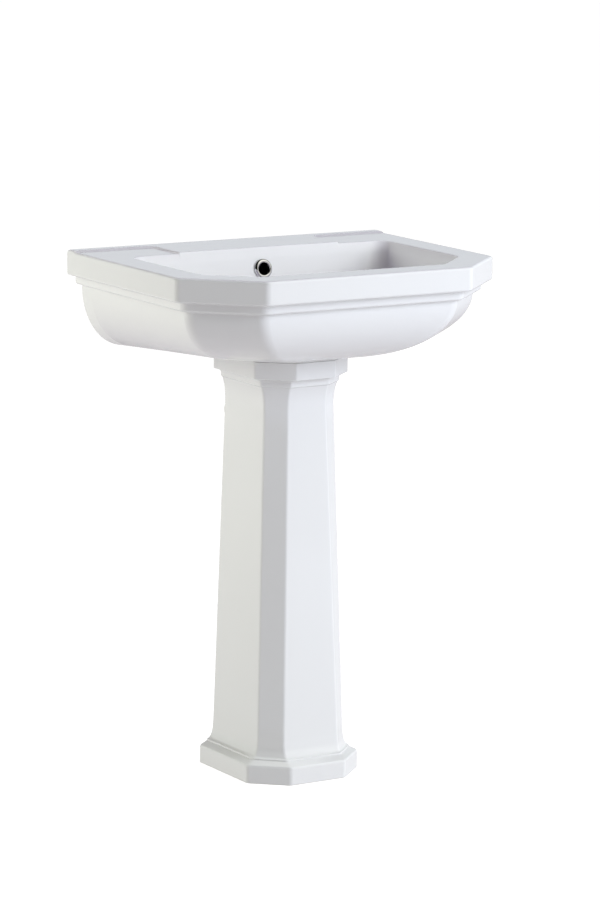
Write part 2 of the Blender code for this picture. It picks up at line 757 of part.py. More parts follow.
def build_trap(parts, cutters, mats):
    nut_low = TAIL_END_Z - 0.0085
    nut_profile = [
        (0.0245, nut_low + 0.022),
        (0.0265, nut_low + 0.020),
        (0.0265, nut_low + 0.002),
        (0.0250, nut_low),
        (0.0163, nut_low),
        (0.0163, nut_low + 0.002),
        (TAIL_R + GAP, nut_low + 0.002),
        (TAIL_R + GAP, nut_low + 0.022),
    ]
    place(at_drain(turned("trap_inlet_nut", nut_profile, closed=True)), parts, mats["plastic"])
    seal = ring_profile(NOZZLE_LIP_R, 0.0135, TAIL_END_Z - GAP, TAIL_END_Z - 0.0027)
    place(at_drain(turned("trap_inlet_seal", seal, closed=True)), parts, mats["rubber"])

    lip_z = TAIL_END_Z - 0.0030
    head_z = 0.606
    thread_z = 0.540
    dip_z = 0.500
    body_profile = [
        (NOZZLE_LIP_R, lip_z),
        (NOZZLE_LIP_R, lip_z - 0.003),
        (PIPE_R, lip_z - 0.003),
        (PIPE_R, head_z + 0.006),
        (0.0290, head_z),
        (0.0310, head_z - 0.004),
        (0.0310, thread_z + 0.014),
        (0.0285, thread_z + 0.014),
        (0.0285, thread_z),
        (0.0260, thread_z),
        (0.0260, head_z - 0.005),
        (PIPE_R, head_z - 0.003),
        (PIPE_R, dip_z),
        (PIPE_BORE, dip_z),
        (PIPE_BORE, lip_z),
    ]
    body = at_drain(turned("trap_body", body_profile, closed=True))
    spigot_profile = [
        (0.0, SPIGOT_END),
        (0.0205, SPIGOT_END),
        (0.0205, SPIGOT_END - 0.003),
        (PIPE_R, SPIGOT_END - 0.003),
        (PIPE_R, 0.0235),
        (0.0, 0.0235),
    ]
    way_end = SPIGOT_END + 0.007
    way_profile = [(0.0, way_end), (PIPE_BORE, way_end), (PIPE_BORE, 0.0200), (0.0, 0.0200)]
    spigot = turned("spigot", spigot_profile, closed=False, steps=22)
    way = turned("spigot_bore", way_profile, closed=False, steps=22)
    for piece in (spigot, way):
        piece.location = (*DRAIN, TRAP_OUTLET_Z)
        piece.rotation_euler.x = -math.pi / 2
        place(piece, cutters)
    join(body, spigot)
    cut(body, way)
    place(body, parts, mats["plastic"])

    cup_low = 0.478
    cup_top = thread_z + 0.0137 - 0.0024 - GAP
    cup_profile = [
        (0.0, cup_low + 0.0025),
        (0.0200, cup_low + 0.0045),
        (0.0270, cup_low + 0.0120),
        (0.0288, cup_low + 0.0220),
        (0.0288, cup_top),
        (0.0320, cup_top),
        (0.0320, cup_low + 0.050),
        (0.0310, cup_low + 0.0200),
        (0.0290, cup_low + 0.0100),
        (0.0210, cup_low + 0.0020),
        (0.0, cup_low),
    ]
    place(at_drain(turned("trap_cup", cup_profile, closed=False)), parts, mats["plastic"])
    seal = ring_profile(0.0315, 0.0288, thread_z + 0.014 - GAP, cup_top + GAP)
    place(at_drain(turned("trap_cup_seal", seal, closed=True)), parts, mats["rubber"])

    # The outlet's pieces lie on a line from the trap to the wall, measured from the trap's centre.
    pipe_start = SPIGOT_END + 0.0035
    pipe_end = DRAIN_OUT - OUTLET_END
    nut_profile = [
        (0.0225, pipe_start + 0.013),
        (0.0245, pipe_start + 0.011),
        (0.0245, pipe_start - 0.012),
        (0.0235, pipe_start - 0.014),
        (0.0208, pipe_start - 0.014),
        (0.0208, pipe_start + 0.006),
        (0.0163, pipe_start + 0.006),
        (0.0163, pipe_start + 0.013),
    ]
    pipe_profile = [
        (PIPE_R, pipe_end),
        (PIPE_R, pipe_start + 0.0057),
        (0.0200, pipe_start + 0.0057),
        (0.0200, pipe_start + 0.0030),
        (PIPE_R, pipe_start),
        (PIPE_BORE, pipe_start),
        (PIPE_BORE, pipe_end),
    ]
    seal = ring_profile(0.0200, 0.0140, pipe_start - GAP, SPIGOT_END + GAP)
    pieces = [
        (turned("trap_outlet_nut", nut_profile, closed=True), mats["plastic"]),
        (turned("trap_outlet_seal", seal, closed=True), mats["rubber"]),
        (turned("outlet_pipe", pipe_profile, closed=True), mats["plastic"]),
    ]
    for piece, material in pieces:
        piece.location = (*DRAIN, TRAP_OUTLET_Z)
        piece.rotation_euler.x = -math.pi / 2
        place(piece, parts, material)


# ---------------------------------------------------------------- wall fixings


def build_wall_fixing(side_name, side, parts, cutters, mats):
    """A hanger bolt with its bush, washer and nut; +Z of each piece points out from the wall."""
    bolt_profile = [
        (0.0, 0.046),
        (BOLT_R - 0.0007, 0.046),
        (BOLT_R, 0.0453),
        (BOLT_R, -0.020),
        (BOLT_R - 0.0008, -0.022),
        (BOLT_R - 0.0008, -0.040),
        (0.0, -BOLT_REACH),
    ]
    skin = SKIN + GAP
    bush_profile = [
        (0.0145, skin + 0.0025),
        (0.0145, skin),
        (0.0086, skin),
        (0.0086, 0.0005),
        (BOLT_R + GAP, 0.0005),
        (BOLT_R + GAP, skin + 0.0025),
    ]
    washer_low = skin + 0.0025 + GAP
    washer = ring_profile(0.0125, BOLT_R + GAP, washer_low + 0.002, washer_low)
    nut_low = washer_low + 0.002 + GAP
    nut = hex_nut("wall_nut_" + side_name, 0.017, BOLT_R + GAP, nut_low, nut_low + 0.008, cutters)
    pieces = [
        (turned("wall_bolt_" + side_name, bolt_profile, closed=False, steps=16), mats["steel"]),
        (turned("wall_bush_" + side_name, bush_profile, closed=True, steps=16), mats["plastic"]),
        (turned("wall_washer_" + side_name, washer, closed=True, steps=16), mats["steel"]),
        (nut, mats["steel"]),
    ]
    for piece, material in pieces:
        piece.location = (side * BOLT_X, out(0.0), BOLT_Z)
        piece.rotation_euler.x = math.pi / 2
        place(piece, parts, material)


def main():
    clear_scene()
    parts = new_collection("pedestal_sink")
    cutters = new_collection("cutters")
    mats = {
        "china": make_material("glazed_china", (0.80, 0.80, 0.79), 0.08),
        "chrome": make_material("polished_chrome", (0.78, 0.79, 0.80), 0.08, 1.0),
        "brass": make_material("turned_brass", (0.72, 0.56, 0.30), 0.30, 1.0),
        "steel": make_material("zinc_steel", (0.62, 0.63, 0.64), 0.35, 1.0),
        "rubber": make_material("black_rubber", (0.03, 0.03, 0.03), 0.70),
        "silicone": make_material("white_silicone", (0.80, 0.80, 0.78), 0.55),
        "plastic": make_material("white_plastic", (0.82, 0.82, 0.80), 0.40),
    }
    build_basin(parts, cutters, mats["china"])
    build_overflow_ring(parts, mats["chrome"])
    build_pedestal(parts, cutters, mats["china"])
    build_gasket(parts, cutters, mats["silicone"])
    build_waste(parts, cutters, mats)
    build_plug(parts, cutters, mats)
    build_trap(parts, cutters, mats)
    for side_name, side in (("left", -1), ("right", 1)):
        build_wall_fixing(side_name, side, parts, cutters, mats)


main()
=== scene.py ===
"""The looks of the pedestal sink: fine meshes, procedural materials, studio light and camera.

Everything is in metres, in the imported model's frame: +Z up, the front towards -Y, the wall at +Y.
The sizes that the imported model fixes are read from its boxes. The rest are named here.
"""

import math

import bmesh
import bpy
import numpy as np
from mathutils import Matrix, Vector


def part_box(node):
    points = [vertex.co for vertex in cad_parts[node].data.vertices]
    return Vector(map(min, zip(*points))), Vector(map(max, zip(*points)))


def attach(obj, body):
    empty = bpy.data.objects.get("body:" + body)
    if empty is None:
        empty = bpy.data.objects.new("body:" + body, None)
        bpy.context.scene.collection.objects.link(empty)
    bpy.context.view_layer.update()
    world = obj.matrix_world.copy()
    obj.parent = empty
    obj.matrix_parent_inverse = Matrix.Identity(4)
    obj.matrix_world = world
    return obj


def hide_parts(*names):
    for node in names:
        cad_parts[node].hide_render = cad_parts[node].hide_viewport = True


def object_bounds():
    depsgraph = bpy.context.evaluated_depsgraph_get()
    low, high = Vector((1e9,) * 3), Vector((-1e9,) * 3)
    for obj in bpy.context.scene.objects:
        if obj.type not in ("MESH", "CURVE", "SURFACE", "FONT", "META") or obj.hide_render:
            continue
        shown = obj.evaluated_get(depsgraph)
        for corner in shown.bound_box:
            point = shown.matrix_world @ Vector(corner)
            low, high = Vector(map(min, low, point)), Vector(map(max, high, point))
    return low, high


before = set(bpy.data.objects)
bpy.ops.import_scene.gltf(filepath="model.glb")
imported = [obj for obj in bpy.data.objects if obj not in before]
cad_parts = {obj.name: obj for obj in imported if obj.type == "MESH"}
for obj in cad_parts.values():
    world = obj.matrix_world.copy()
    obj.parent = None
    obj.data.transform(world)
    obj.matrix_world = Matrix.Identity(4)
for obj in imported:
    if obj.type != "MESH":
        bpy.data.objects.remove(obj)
CAD_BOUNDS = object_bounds()

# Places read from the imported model
BASIN_LOW, BASIN_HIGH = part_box("basin")
PED_LOW, PED_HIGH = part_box("pedestal")
CUP_LOW, CUP_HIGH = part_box("trap_cup")
FLANGE_LOW, FLANGE_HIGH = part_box("waste_body")

# Basin
HALF_WIDTH = BASIN_HIGH.x
WALL_Y = BASIN_HIGH.y
DEPTH = BASIN_HIGH.y - BASIN_LOW.y
PLATFORM_RISE = 0.0025
RIM_Z = BASIN_HIGH.z - PLATFORM_RISE
SEAT_Z = 0.6955
UNDER_Z = 0.700
BACK_LOW_Z = BASIN_LOW.z
SIDE_LENGTH = 0.352
FRONT_HALF = 0.191
SLAB_BAND = 0.039
LOWER_BAND = 0.016
LOWER_BAND_INSET = 0.016
BODY_INSET = 0.028
BODY_TOP_Z = 0.797
SKIN = 0.012
TAP_HALF = 0.154
LEDGE_DEPTH = 0.028
STEP_FOOT = -0.0010
STEP_WIDTH = 0.0036
STEP_COUNT = 8
PLATFORM_POINTS = 9
LEDGE_SOFTER = 2.4  # how much wider the step is along the ledge than at the platform's sides
LEDGE_INNER_CORNER = 0.0130
EDGE_STEP_FOOT = -0.0045
EDGE_STEP_WIDTH = 0.0130
SLAB_CORNER = 0.017
BODY_CORNER = 0.028
BASE_CORNER = 0.024
BASE_BACK_HALF = 0.194
SKIRT_ROUNDER = 0.006
LID_INSET = 0.012
DECK_EDGE_R = 0.0044

# Bowl
BOWL_BACK = 0.111
BOWL_SIDE_RIM = 0.054
BOWL_CHAMFER_RIM = 0.050
BOWL_FRONT_RIM = 0.050
BOWL_SHELL = 0.010
SEAT_R = 0.0345
SEAT_DEPTH = 0.004
DRAIN_HOLE_R = 0.023
DRAIN = Vector(((FLANGE_LOW.x + FLANGE_HIGH.x) / 2, (FLANGE_LOW.y + FLANGE_HIGH.y) / 2))
DRAIN_Z = 0.735
BOSS_R = 0.040
BOSS_Z = 0.697
OVERFLOW_Z = 0.8237
OVERFLOW_OUT = 0.12309
OVERFLOW_TILT = math.atan2(0.0065, 0.036)
OVERFLOW_HOLE_R = 0.0125
DUCT_R = 0.0075
DUCT_Z = 0.713
DUCT_OUT = 0.103

# Pedestal
PED_BACK = WALL_Y - PED_HIGH.y
PED_TOP_Z = PED_HIGH.z
PED_WALL = 0.011
BACK_SLOT = 0.088
COLLAR_CORNER = 0.0076
FOOT_SCREW_X = 0.084
FOOT_SCREW_OUT = 0.175

# Fixings and trap
BOLT_X = 0.140
BOLT_Z = 0.800
OUTLET_Z = 0.577
PIPE_R = 0.0160
PIPE_BORE_R = 0.0138

SHARP = math.radians(30)  # edges that turn by more than this stay sharp
TOUCH = 0.0001  # points nearer than this count as being at the same place

# Studio
FLOOR_HALF = 60.0
FLOOR_TONE = 0.35
FLOOR_GLOW = (0.90, 0.90, 0.90)
BOUNCE_TONE = 0.30
BOUNCE_GLOW = (0.446, 0.428, 0.444)
BOUNCE_Z = -0.002
# Colour times strength, direction, degrees from it where it ends and is full, elevations where it is
# still full and ends
PANELS = [
    ((0.698, 0.754, 0.766), (0.15, 0.985, 0.0), 100.0, 60.0, (14.0, 26.0)),
    ((1.323, 1.292, 1.169), (0.50, -0.56, 0.66), 50.0, 20.0, (89.0, 90.0)),
]
SOFTBOXES = [  # azimuth, elevation, watts, colour
    (-125, 15, 67.0, (0.981, 1.000, 0.899)),
    (31, 20, 71.0, (0.796, 0.869, 1.000)),
    (180, 75, 21.3, (0.700, 0.575, 1.000)),
]
SOFTBOX_DISTANCE = 3.2
SOFTBOX_SIZE = 1.8
SOFTBOX_AIM_Z = 0.55

# Camera, in degrees, millimetres of lens and metres
CAMERA_AZIMUTH = -32.236
CAMERA_ELEVATION = 10.512
CAMERA_ROLL = 0.919
CAMERA_DISTANCE = 6.4364
CAMERA_TARGET = Vector((0.0, -0.0457, 0.5415))
LENS = 158.03
SENSOR_WIDTH = 36.0


def out(distance):
    """The Y coordinate of a place this far out from the wall."""
    return WALL_Y - distance


# ---------------------------------------------------------------- outlines and profiles


def outline(half_width, side_length, front_half, depth, back=0.0):
    """Six corners, counter-clockwise from the back left."""
    return [
        (-half_width, out(back)),
        (-half_width, out(side_length)),
        (-front_half, out(depth)),
        (front_half, out(depth)),
        (half_width, out(side_length)),
        (half_width, out(back)),
    ]


def inset(corners, gaps):
    """Moves each edge of a convex outline inwards; gaps[i] is for the edge from corner i to i + 1."""
    count = len(corners)
    lines = []
    for i, gap in enumerate(gaps):
        start = Vector(corners[i])
        along = (Vector(corners[(i + 1) % count]) - start).normalized()
        inward = Vector((-along.y, along.x))
        lines.append((start + inward * gap, along))
    moved = []
    for i in range(count):
        point, along = lines[i - 1]
        other, other_along = lines[i]
        reach = (other - point).cross(other_along) / along.cross(other_along)
        moved.append(point + along * reach)
    return moved


def sides_inset(corners, gap, back_gap=0.0):
    return inset(corners, [gap] * 5 + [back_gap])


def blend(first, second, share):
    return [Vector(a).lerp(Vector(b), share) for a, b in zip(first, second)]


def rounded(corners, radii, z, steps, splits=None, marks=None):
    """A ring at height z with rounded corners.

    splits[i] extra points lie on the edge after corner i. So do points at the Y values in marks[i].
    """
    count = len(corners)
    arcs = []
    for i in range(count):
        before = (Vector(corners[i]) - Vector(corners[i - 1])).normalized()
        after = (Vector(corners[(i + 1) % count]) - Vector(corners[i])).normalized()
        turn = before.angle_signed(after)
        radius = radii[i]
        start = Vector(corners[i]) - before * radius * math.tan(abs(turn) / 2)
        centre = start + Vector((-before.y, before.x)) * radius
        first = math.atan2(-before.x, before.y)
        arc = []
        for k in range(steps + 1):
            angle = first + abs(turn) * k / steps
            arc.append(Vector((centre.x + math.cos(angle) * radius, centre.y + math.sin(angle) * radius, z)))
        arcs.append(arc)
    ring = []
    for i, arc in enumerate(arcs):
        ring += arc
        extra = splits[i] if splits else 0
        following = arcs[(i + 1) % count][0]
        ring += [arc[-1].lerp(following, k / (extra + 1)) for k in range(1, extra + 1)]
        for y in (marks or {}).get(i, []):
            ring.append(arc[-1].lerp(following, (y - arc[-1].y) / (following.y - arc[-1].y)))
    return ring


def filleted(corners, steps=5):
    """A line through (*coordinates, radius) corners, each rounded.

    A radius of None takes the largest round that fits, so a row of them makes one smooth curve.
    """
    places = [np.array(corner[:-1], float) for corner in corners]
    path = [places[0]]
    for i in range(1, len(places) - 1):
        radius = corners[i][-1]
        before = places[i] - places[i - 1]
        after = places[i + 1] - places[i]
        room = min(np.linalg.norm(before), np.linalg.norm(after)) / 2
        before = before / np.linalg.norm(before)
        after = after / np.linalg.norm(after)
        cosine = float(np.clip(before @ after, -1, 1))
        turn = math.acos(cosine)
        if turn < 0.01 or radius == 0:
            path.append(places[i])
            continue
        reach = room if radius is None else min(radius * math.tan(turn / 2), 2 * room)
        bend = reach / math.tan(turn / 2)
        sideways = (after - before * cosine) / math.sin(turn)
        start = places[i] - before * reach
        for k in range(steps + 1):
            angle = turn * k / steps
            path.append(start + bend * (math.sin(angle) * before + (1 - math.cos(angle)) * sideways))
    path.append(places[-1])
    return [tuple(float(value) for value in place) for place in path]


# ---------------------------------------------------------------- meshes


def paint(obj, material):
    obj.data.materials.clear()
    obj.data.materials.append(material)
    return obj


def new_object(name, data):
    made = bpy.data.objects.new(name, data)
    bpy.context.scene.collection.objects.link(made)
    return made


def finish_mesh(name, bm):
    """Makes an object of a bmesh, smooth but for its sharp edges."""
    bmesh.ops.remove_doubles(bm, verts=bm.verts, dist=0.000002)
    bmesh.ops.recalc_face_normals(bm, faces=bm.faces)
    mesh = bpy.data.meshes.new(name)
    bm.to_mesh(mesh)
    bm.free()
    obj = new_object(name, mesh)
    shade(obj)
    return obj


def shade(obj):
    obj.data.shade_smooth()
    obj.data.set_sharp_from_angle(angle=SHARP)


def bridge(bm, first, second, closed=True):
    count = len(first)
    for i in range(count if closed else count - 1):
        j = (i + 1) % count
        bm.faces.new((first[i], first[j], second[j], second[i]))


def add_rings(bm, rings):
    """Adds rings of points and the faces between them, and returns the rings of vertices."""
    loops = [[bm.verts.new(point) for point in ring] for ring in rings]
    for lower, upper in zip(loops, loops[1:]):
        bridge(bm, lower, upper)
    return loops


def loft(name, rings):
    bm = bmesh.new()
    loops = add_rings(bm, rings)
    bm.faces.new(loops[0])
    bm.faces.new(loops[-1])
    return finish_mesh(name, bm)


def prism(name, corners, radius, low_z, high_z):
    """An outline with rounded upright corners, from low_z to high_z."""
    radii = [radius] * len(corners)
    return loft(name, [rounded(corners, radii, z, 5) for z in (high_z, low_z)])


def box(name, low, high):
    bm = bmesh.new()
    bmesh.ops.create_cube(bm, size=1.0)
    for vert in bm.verts:
        for axis in range(3):
            middle = (low[axis] + high[axis]) / 2
            vert.co[axis] = middle + vert.co[axis] * (high[axis] - low[axis])
    return finish_mesh(name, bm)


def lathe(name, profile, steps=96, shape=None):
    """A closed solid turned about Z from (radius, z) points; where both ends are off the axis it is a ring.

    shape(radius, z, angle) may change a point's radius, for flats, ribs and threads.
    """
    ring_shaped = profile[0][0] > 0 and profile[-1][0] > 0
    bm = bmesh.new()
    loops = []
    for radius, z in profile:
        loop = []
        for k in range(steps):
            angle = 2 * math.pi * k / steps
            reach = shape(radius, z, angle) if shape and radius > 0 else radius
            loop.append(bm.verts.new((reach * math.cos(angle), reach * math.sin(angle), z)))
        loops.append(loop)
    for first, second in zip(loops, loops[1:]):
        bridge(bm, first, second)
    if ring_shaped:
        bridge(bm, loops[-1], loops[0])
    return finish_mesh(name, bm)


def rod(name, radius, low_z, high_z, steps=96):
    return lathe(name, [(0, high_z), (radius, high_z), (radius, low_z), (0, low_z)], steps)


def tube(name, points, radius):
    """A round rod along a line of points, with filled ends."""
    curve = bpy.data.curves.new(name, "CURVE")
    curve.dimensions = "3D"
    curve.bevel_depth = radius
    curve.bevel_resolution = 8
    curve.use_fill_caps = True
    spline = curve.splines.new("POLY")
    spline.points.add(len(points) - 1)
    for point, co in zip(spline.points, points):
        point.co = (*co, 1.0)
    path = new_object(name, curve)
    bpy.context.view_layer.update()
    bm = bmesh.new()
    bm.from_mesh(path.evaluated_get(bpy.context.evaluated_depsgraph_get()).to_mesh())
    bpy.data.objects.remove(path)
    return finish_mesh(name, bm)


def boolean(target, operation, *others):
    """Joins or cuts the target with the others for good, and removes them."""
    for other in others:
        step = target.modifiers.new("step", "BOOLEAN")
        step.operation = operation
        step.solver = "EXACT"
        step.material_mode = "TRANSFER"
        step.object = other
    bpy.context.view_layer.update()
    graph = bpy.context.evaluated_depsgraph_get()
    mesh = bpy.data.meshes.new_from_object(target.evaluated_get(graph))
    target.modifiers.clear()
    target.data = mesh
    for other in others:
        bpy.data.objects.remove(other)
    return target


def stand(obj, place, tilt=0.0):
    """Turns an object about X, puts it at a place, and makes both part of its mesh."""
    obj.data.transform(Matrix.Translation(Vector(place)) @ Matrix.Rotation(tilt, 4, "X"))
    return obj


# ---------------------------------------------------------------- basin

SLAB = outline(HALF_WIDTH, SIDE_LENGTH, FRONT_HALF, DEPTH)
BASE = outline(0.100, 0.250, 0.046, 0.300)
BASE[0] = (-BASE_BACK_HALF, out(0.0))
BASE[5] = (BASE_BACK_HALF, out(0.0))
BODY = sides_inset(SLAB, BODY_INSET)
RIMS = [BOWL_SIDE_RIM, BOWL_CHAMFER_RIM, BOWL_FRONT_RIM, BOWL_CHAMFER_RIM, BOWL_SIDE_RIM, BOWL_BACK]
OPENING = inset(SLAB, RIMS)
COLLAR = outline(0.090, 0.246, 0.037, 0.290, PED_BACK)
NECK = outline(0.0672, 0.2405, 0.0358, 0.264, PED_BACK)
ANKLE = outline(0.0828, 0.261, 0.0520, 0.2930, PED_BACK)
PLINTH = outline(0.1077, 0.2695, 0.0523, 0.3175, PED_BACK)


def step_marks():
    """The Y values where the ledge's step crosses the basin's sides, for the left and the right edge."""
    levels = [out(LEDGE_DEPTH - foot) for foot, rise in edge_rises()]
    return {0: levels[::-1], 4: levels}


def six_radii(corner, back=0.003):
    return [back, corner, corner, corner, corner, back]


def slab_ring(gap, z, back_gap=0.0, steps=6, marks=None):
    corner = float(np.interp(gap, [0.0, BODY_INSET], [SLAB_CORNER, BODY_CORNER]))
    return rounded(sides_inset(SLAB, gap, back_gap), six_radii(corner), z, steps, marks=marks)


def moulding_rings():
    """The slab's edge and the two bands under it, from the deck down to the body."""
    band_z = RIM_Z - SLAB_BAND
    lower_z = band_z - LOWER_BAND
    profile = filleted([
        (0.010, RIM_Z, 0),
        (0.0, RIM_Z, DECK_EDGE_R),
        (0.0, band_z, 0.0042),
        (LOWER_BAND_INSET, band_z - 0.0010, 0.0028),
        (LOWER_BAND_INSET, lower_z, 0.0040),
        (BODY_INSET, lower_z - 0.0010, 0.0028),
        (BODY_INSET, BODY_TOP_Z, 0),
    ])
    rises = edge_rises()
    rings = []
    for gap, z in profile[1:]:
        at_top = z > RIM_Z - DECK_EDGE_R - TOUCH
        ring = slab_ring(gap, z, gap if at_top else 0.0, marks=step_marks())
        if at_top:
            for point in ring:
                foot = point.y - out(LEDGE_DEPTH)
                point.z += float(np.interp(foot, [f for f, rise in rises], [rise for f, rise in rises]))
        rings.append(ring)
    return rings


def skirt_rings(gap=0.0, steps=6, quarter=30, marks=None):
    """The curved body under the mouldings: a quarter ellipse, a little deeper towards the wall."""
    drop = BODY_TOP_Z - UNDER_Z - gap
    rings = []
    for k in range(quarter + 1):
        angle = math.pi / 2 * k / quarter
        section = sides_inset(blend(BODY, BASE, 1 - math.cos(angle)), gap, gap)
        corner = BODY_CORNER + SKIRT_ROUNDER * math.sin(angle)
        z = BODY_TOP_Z - drop * math.sin(angle)
        ring = rounded(section, six_radii(corner), z, steps, marks=marks)
        for point in ring:
            back_share = float(np.interp(point.y, [section[1].y, section[0].y - 0.003], [0.0, 1.0]))
            point.z -= (UNDER_Z - BACK_LOW_Z) * math.sin(angle) * back_share
        rings.append(ring)
    lid = sides_inset(BASE, gap + LID_INSET, gap + LID_INSET)
    rings.append(rounded(lid, six_radii(BASE_CORNER), UNDER_Z + gap, steps, marks=marks))
    return rings


def step_rises(foot=STEP_FOOT, width=STEP_WIDTH):
    """The platform's edge as (inset, height above the deck): a soft S."""
    shares = [k / STEP_COUNT for k in range(STEP_COUNT + 1)]
    return [(foot + width * share, PLATFORM_RISE * share * share * (3 - 2 * share)) for share in shares]


def edge_rises():
    """The same S where it runs out, wider, over the basin's side."""
    return step_rises(EDGE_STEP_FOOT, EDGE_STEP_WIDTH)


def step_path(gap, lip, edge, side):
    """The foot of the platform's T on one side, drawn in by gap, from the bowl's lip to the basin's edge."""
    tap_x = side * (TAP_HALF - gap)
    ledge_y = out(LEDGE_DEPTH - gap * LEDGE_SOFTER)
    inner = LEDGE_INNER_CORNER + gap
    bends = [(tap_x, lip.y + 0.004, 0.002), (tap_x, ledge_y, inner)]
    return filleted([(lip.x, lip.y, 0), *bends, (edge.x, edge.y, 0)])


BOWL_WALLS = [  # gap from the opening, share of the way to the waste, depth under the rim, round
    (-0.0060, 0.0, 0.000, 0),
    (0.0000, 0.0, 0.000, 0.0026),
    (0.0030, 0.0, 0.0050, None),
    (0.0070, 0.0, 0.0130, None),
    (0.0155, 0.0, 0.051, None),
    (0.0215, 0.0, 0.067, None),
    (0.0215, 0.06, 0.080, None),
    (0.0215, 0.16, 0.092, None),
    (0.0215, 0.31, 0.104, None),
    (0.0215, 0.52, 0.113, None),
    (0.0215, 0.76, 0.118, None),
    (0.0215, 0.94, 0.121, 0),
]
CORNER_DEPTHS = [0.000, 0.003, 0.008, 0.015, 0.051, 0.067]
CORNER_RADII = [0.026, 0.026, 0.028, 0.032, 0.062, 0.074]
SIDE_BENDS = [0.010, 0.010, 0.010, 0.010, 0.012, 0.024]
BACK_BENDS = [0.030, 0.030, 0.032, 0.034, 0.050, 0.074]
SIDE_BEND_TURN = math.radians(40)
BEND_GAP = 0.0004
BOWL_SPLITS = [0, 6, 3, 10, 3, 6, 0, 0]  # extra points along each edge of a level
STEP_FADE_DEPTH = 0.012
WASTE_MARGIN = 0.003
SHARE_SIZE = 0.12


def bowl_profile():
    """(gap, share, depth) from the deck's edge of the lip down to the waste."""
    corners = [(gap, share * SHARE_SIZE, depth, radius) for gap, share, depth, radius in BOWL_WALLS]
    return [(gap, size / SHARE_SIZE, depth) for gap, size, depth in filleted(corners, 6)[1:]]


def bowl_section(gap, depth, shell):
    """The bowl's outline and radii; a back corner bends tightly off the side, then widely to the back."""
    tables = (CORNER_RADII, SIDE_BENDS, BACK_BENDS)
    radius, side_bend, back_bend = [float(np.interp(depth, CORNER_DEPTHS, radii)) + shell for radii in tables]
    corners = inset(OPENING, [gap - shell] * 6)
    facet = side_bend * math.tan(SIDE_BEND_TURN / 2) + back_bend * math.tan(math.pi / 4 - SIDE_BEND_TURN / 2)
    facet += BEND_GAP
    along = Vector((0, -facet * math.cos(SIDE_BEND_TURN)))
    across = Vector((facet * math.sin(SIDE_BEND_TURN), 0))
    left = [corners[0] + across, corners[0] + along]
    right = [corners[5] + along, corners[5] - across]
    return left + corners[1:5] + right, [back_bend, side_bend] + [radius] * 4 + [side_bend, back_bend]


def bowl_ring(gap, share, depth, shell=0.0, steps=9):
    """One level of the bowl, with points on the back edge where the platform's step crosses it."""
    corners, radii = bowl_section(gap, depth, shell)
    z = RIM_Z - depth - shell * min(1.0, depth / CORNER_DEPTHS[-1])
    ring = rounded(corners, radii, z, steps, splits=BOWL_SPLITS)
    back_y = ring[-1].y
    half = ring[-1].x
    squeeze = min(1.0, (half - 0.002) / (TAP_HALF + 0.001))
    fade = max(0.0, 1 - depth / STEP_FADE_DEPTH) ** 2
    steps_up = [((TAP_HALF - foot) * squeeze, rise * fade) for foot, rise in step_rises()]
    across = steps_up[-1][0]
    spacing = 2 / (PLATFORM_POINTS + 1)
    level = [(across * (1 - spacing * k), steps_up[-1][1]) for k in range(1, PLATFORM_POINTS + 1)]
    for x, rise in steps_up + level + [(-x, rise) for x, rise in reversed(steps_up)]:
        ring.append(Vector((x, back_y, z + rise)))
    if share > 0:
        for point in ring:
            away = (Vector((point.x, point.y)) - DRAIN).normalized() * (SEAT_R + WASTE_MARGIN)
            target = Vector((DRAIN.x + away.x, DRAIN.y + away.y, point.z))
            point.xyz = point.lerp(target, share / BOWL_WALLS[-1][1])
    return ring


def basin_body():
    """The outside, the deck with its raised T, and the bowl, as one closed mesh."""
    bm = bmesh.new()
    outside = add_rings(bm, moulding_rings() + skirt_rings(marks=step_marks())[1:])
    bm.faces.new(outside[-1])
    bowl = add_rings(bm, [bowl_ring(*level) for level in bowl_profile()])
    bm.faces.new(bowl[-1])

    lip = bowl[0]
    edge = outside[0]
    rises = step_rises()
    steps = len(rises)
    last = steps - 1
    lip_right = len(lip) - 2 * steps - PLATFORM_POINTS
    lip_left = len(lip) - 1
    edge_left = [i for i, vert in enumerate(edge) if vert.co.x < 0 and is_step(vert)][::-1]
    edge_right = [i for i, vert in enumerate(edge) if vert.co.x > 0 and is_step(vert)]
    feet = []
    tops = []
    for side, first, turn, marked in ((1, lip_right, 1, edge_right), (-1, lip_left, -1, edge_left)):
        strips = []
        for k, (gap, rise) in enumerate(rises):
            start = lip[first + turn * k]
            end = edge[marked[k]]
            path = step_path(gap, start.co, end.co, side)[1:-1]
            strips.append([start] + [bm.verts.new((x, y, RIM_Z + rise)) for x, y in path] + [end])
        for lower, upper in zip(strips, strips[1:]):
            bridge(bm, lower, upper, closed=False)
        feet.append(strips[0])
        tops.append(strips[-1])
    fill(bm, feet + [edge[edge_left[0] : edge_right[0] + 1], [lip[lip_left]] + lip[: lip_right + 1]])
    around_back = edge[edge_right[last] :] + edge[: edge_left[last] + 1]
    fill(bm, tops + [around_back, lip[lip_right + last : lip_left - last + 1]])
    return finish_mesh("basin_fine", bm)


def is_step(vert):
    """Whether a vertex of the basin's edge is one of those where the ledge's step crosses it."""
    foot = vert.co.y - out(LEDGE_DEPTH)
    return EDGE_STEP_FOOT - TOUCH <= foot <= EDGE_STEP_FOOT + EDGE_STEP_WIDTH + TOUCH


def fill(bm, lines):
    """Fills the flat area that these lines of vertices enclose."""
    edges = []
    for line in lines:
        for first, second in zip(line, line[1:]):
            edges.append(bm.edges.get((first, second)) or bm.edges.new((first, second)))
    bmesh.ops.triangle_fill(bm, use_beauty=True, use_dissolve=False, edges=edges, normal=(0, 0, 1))


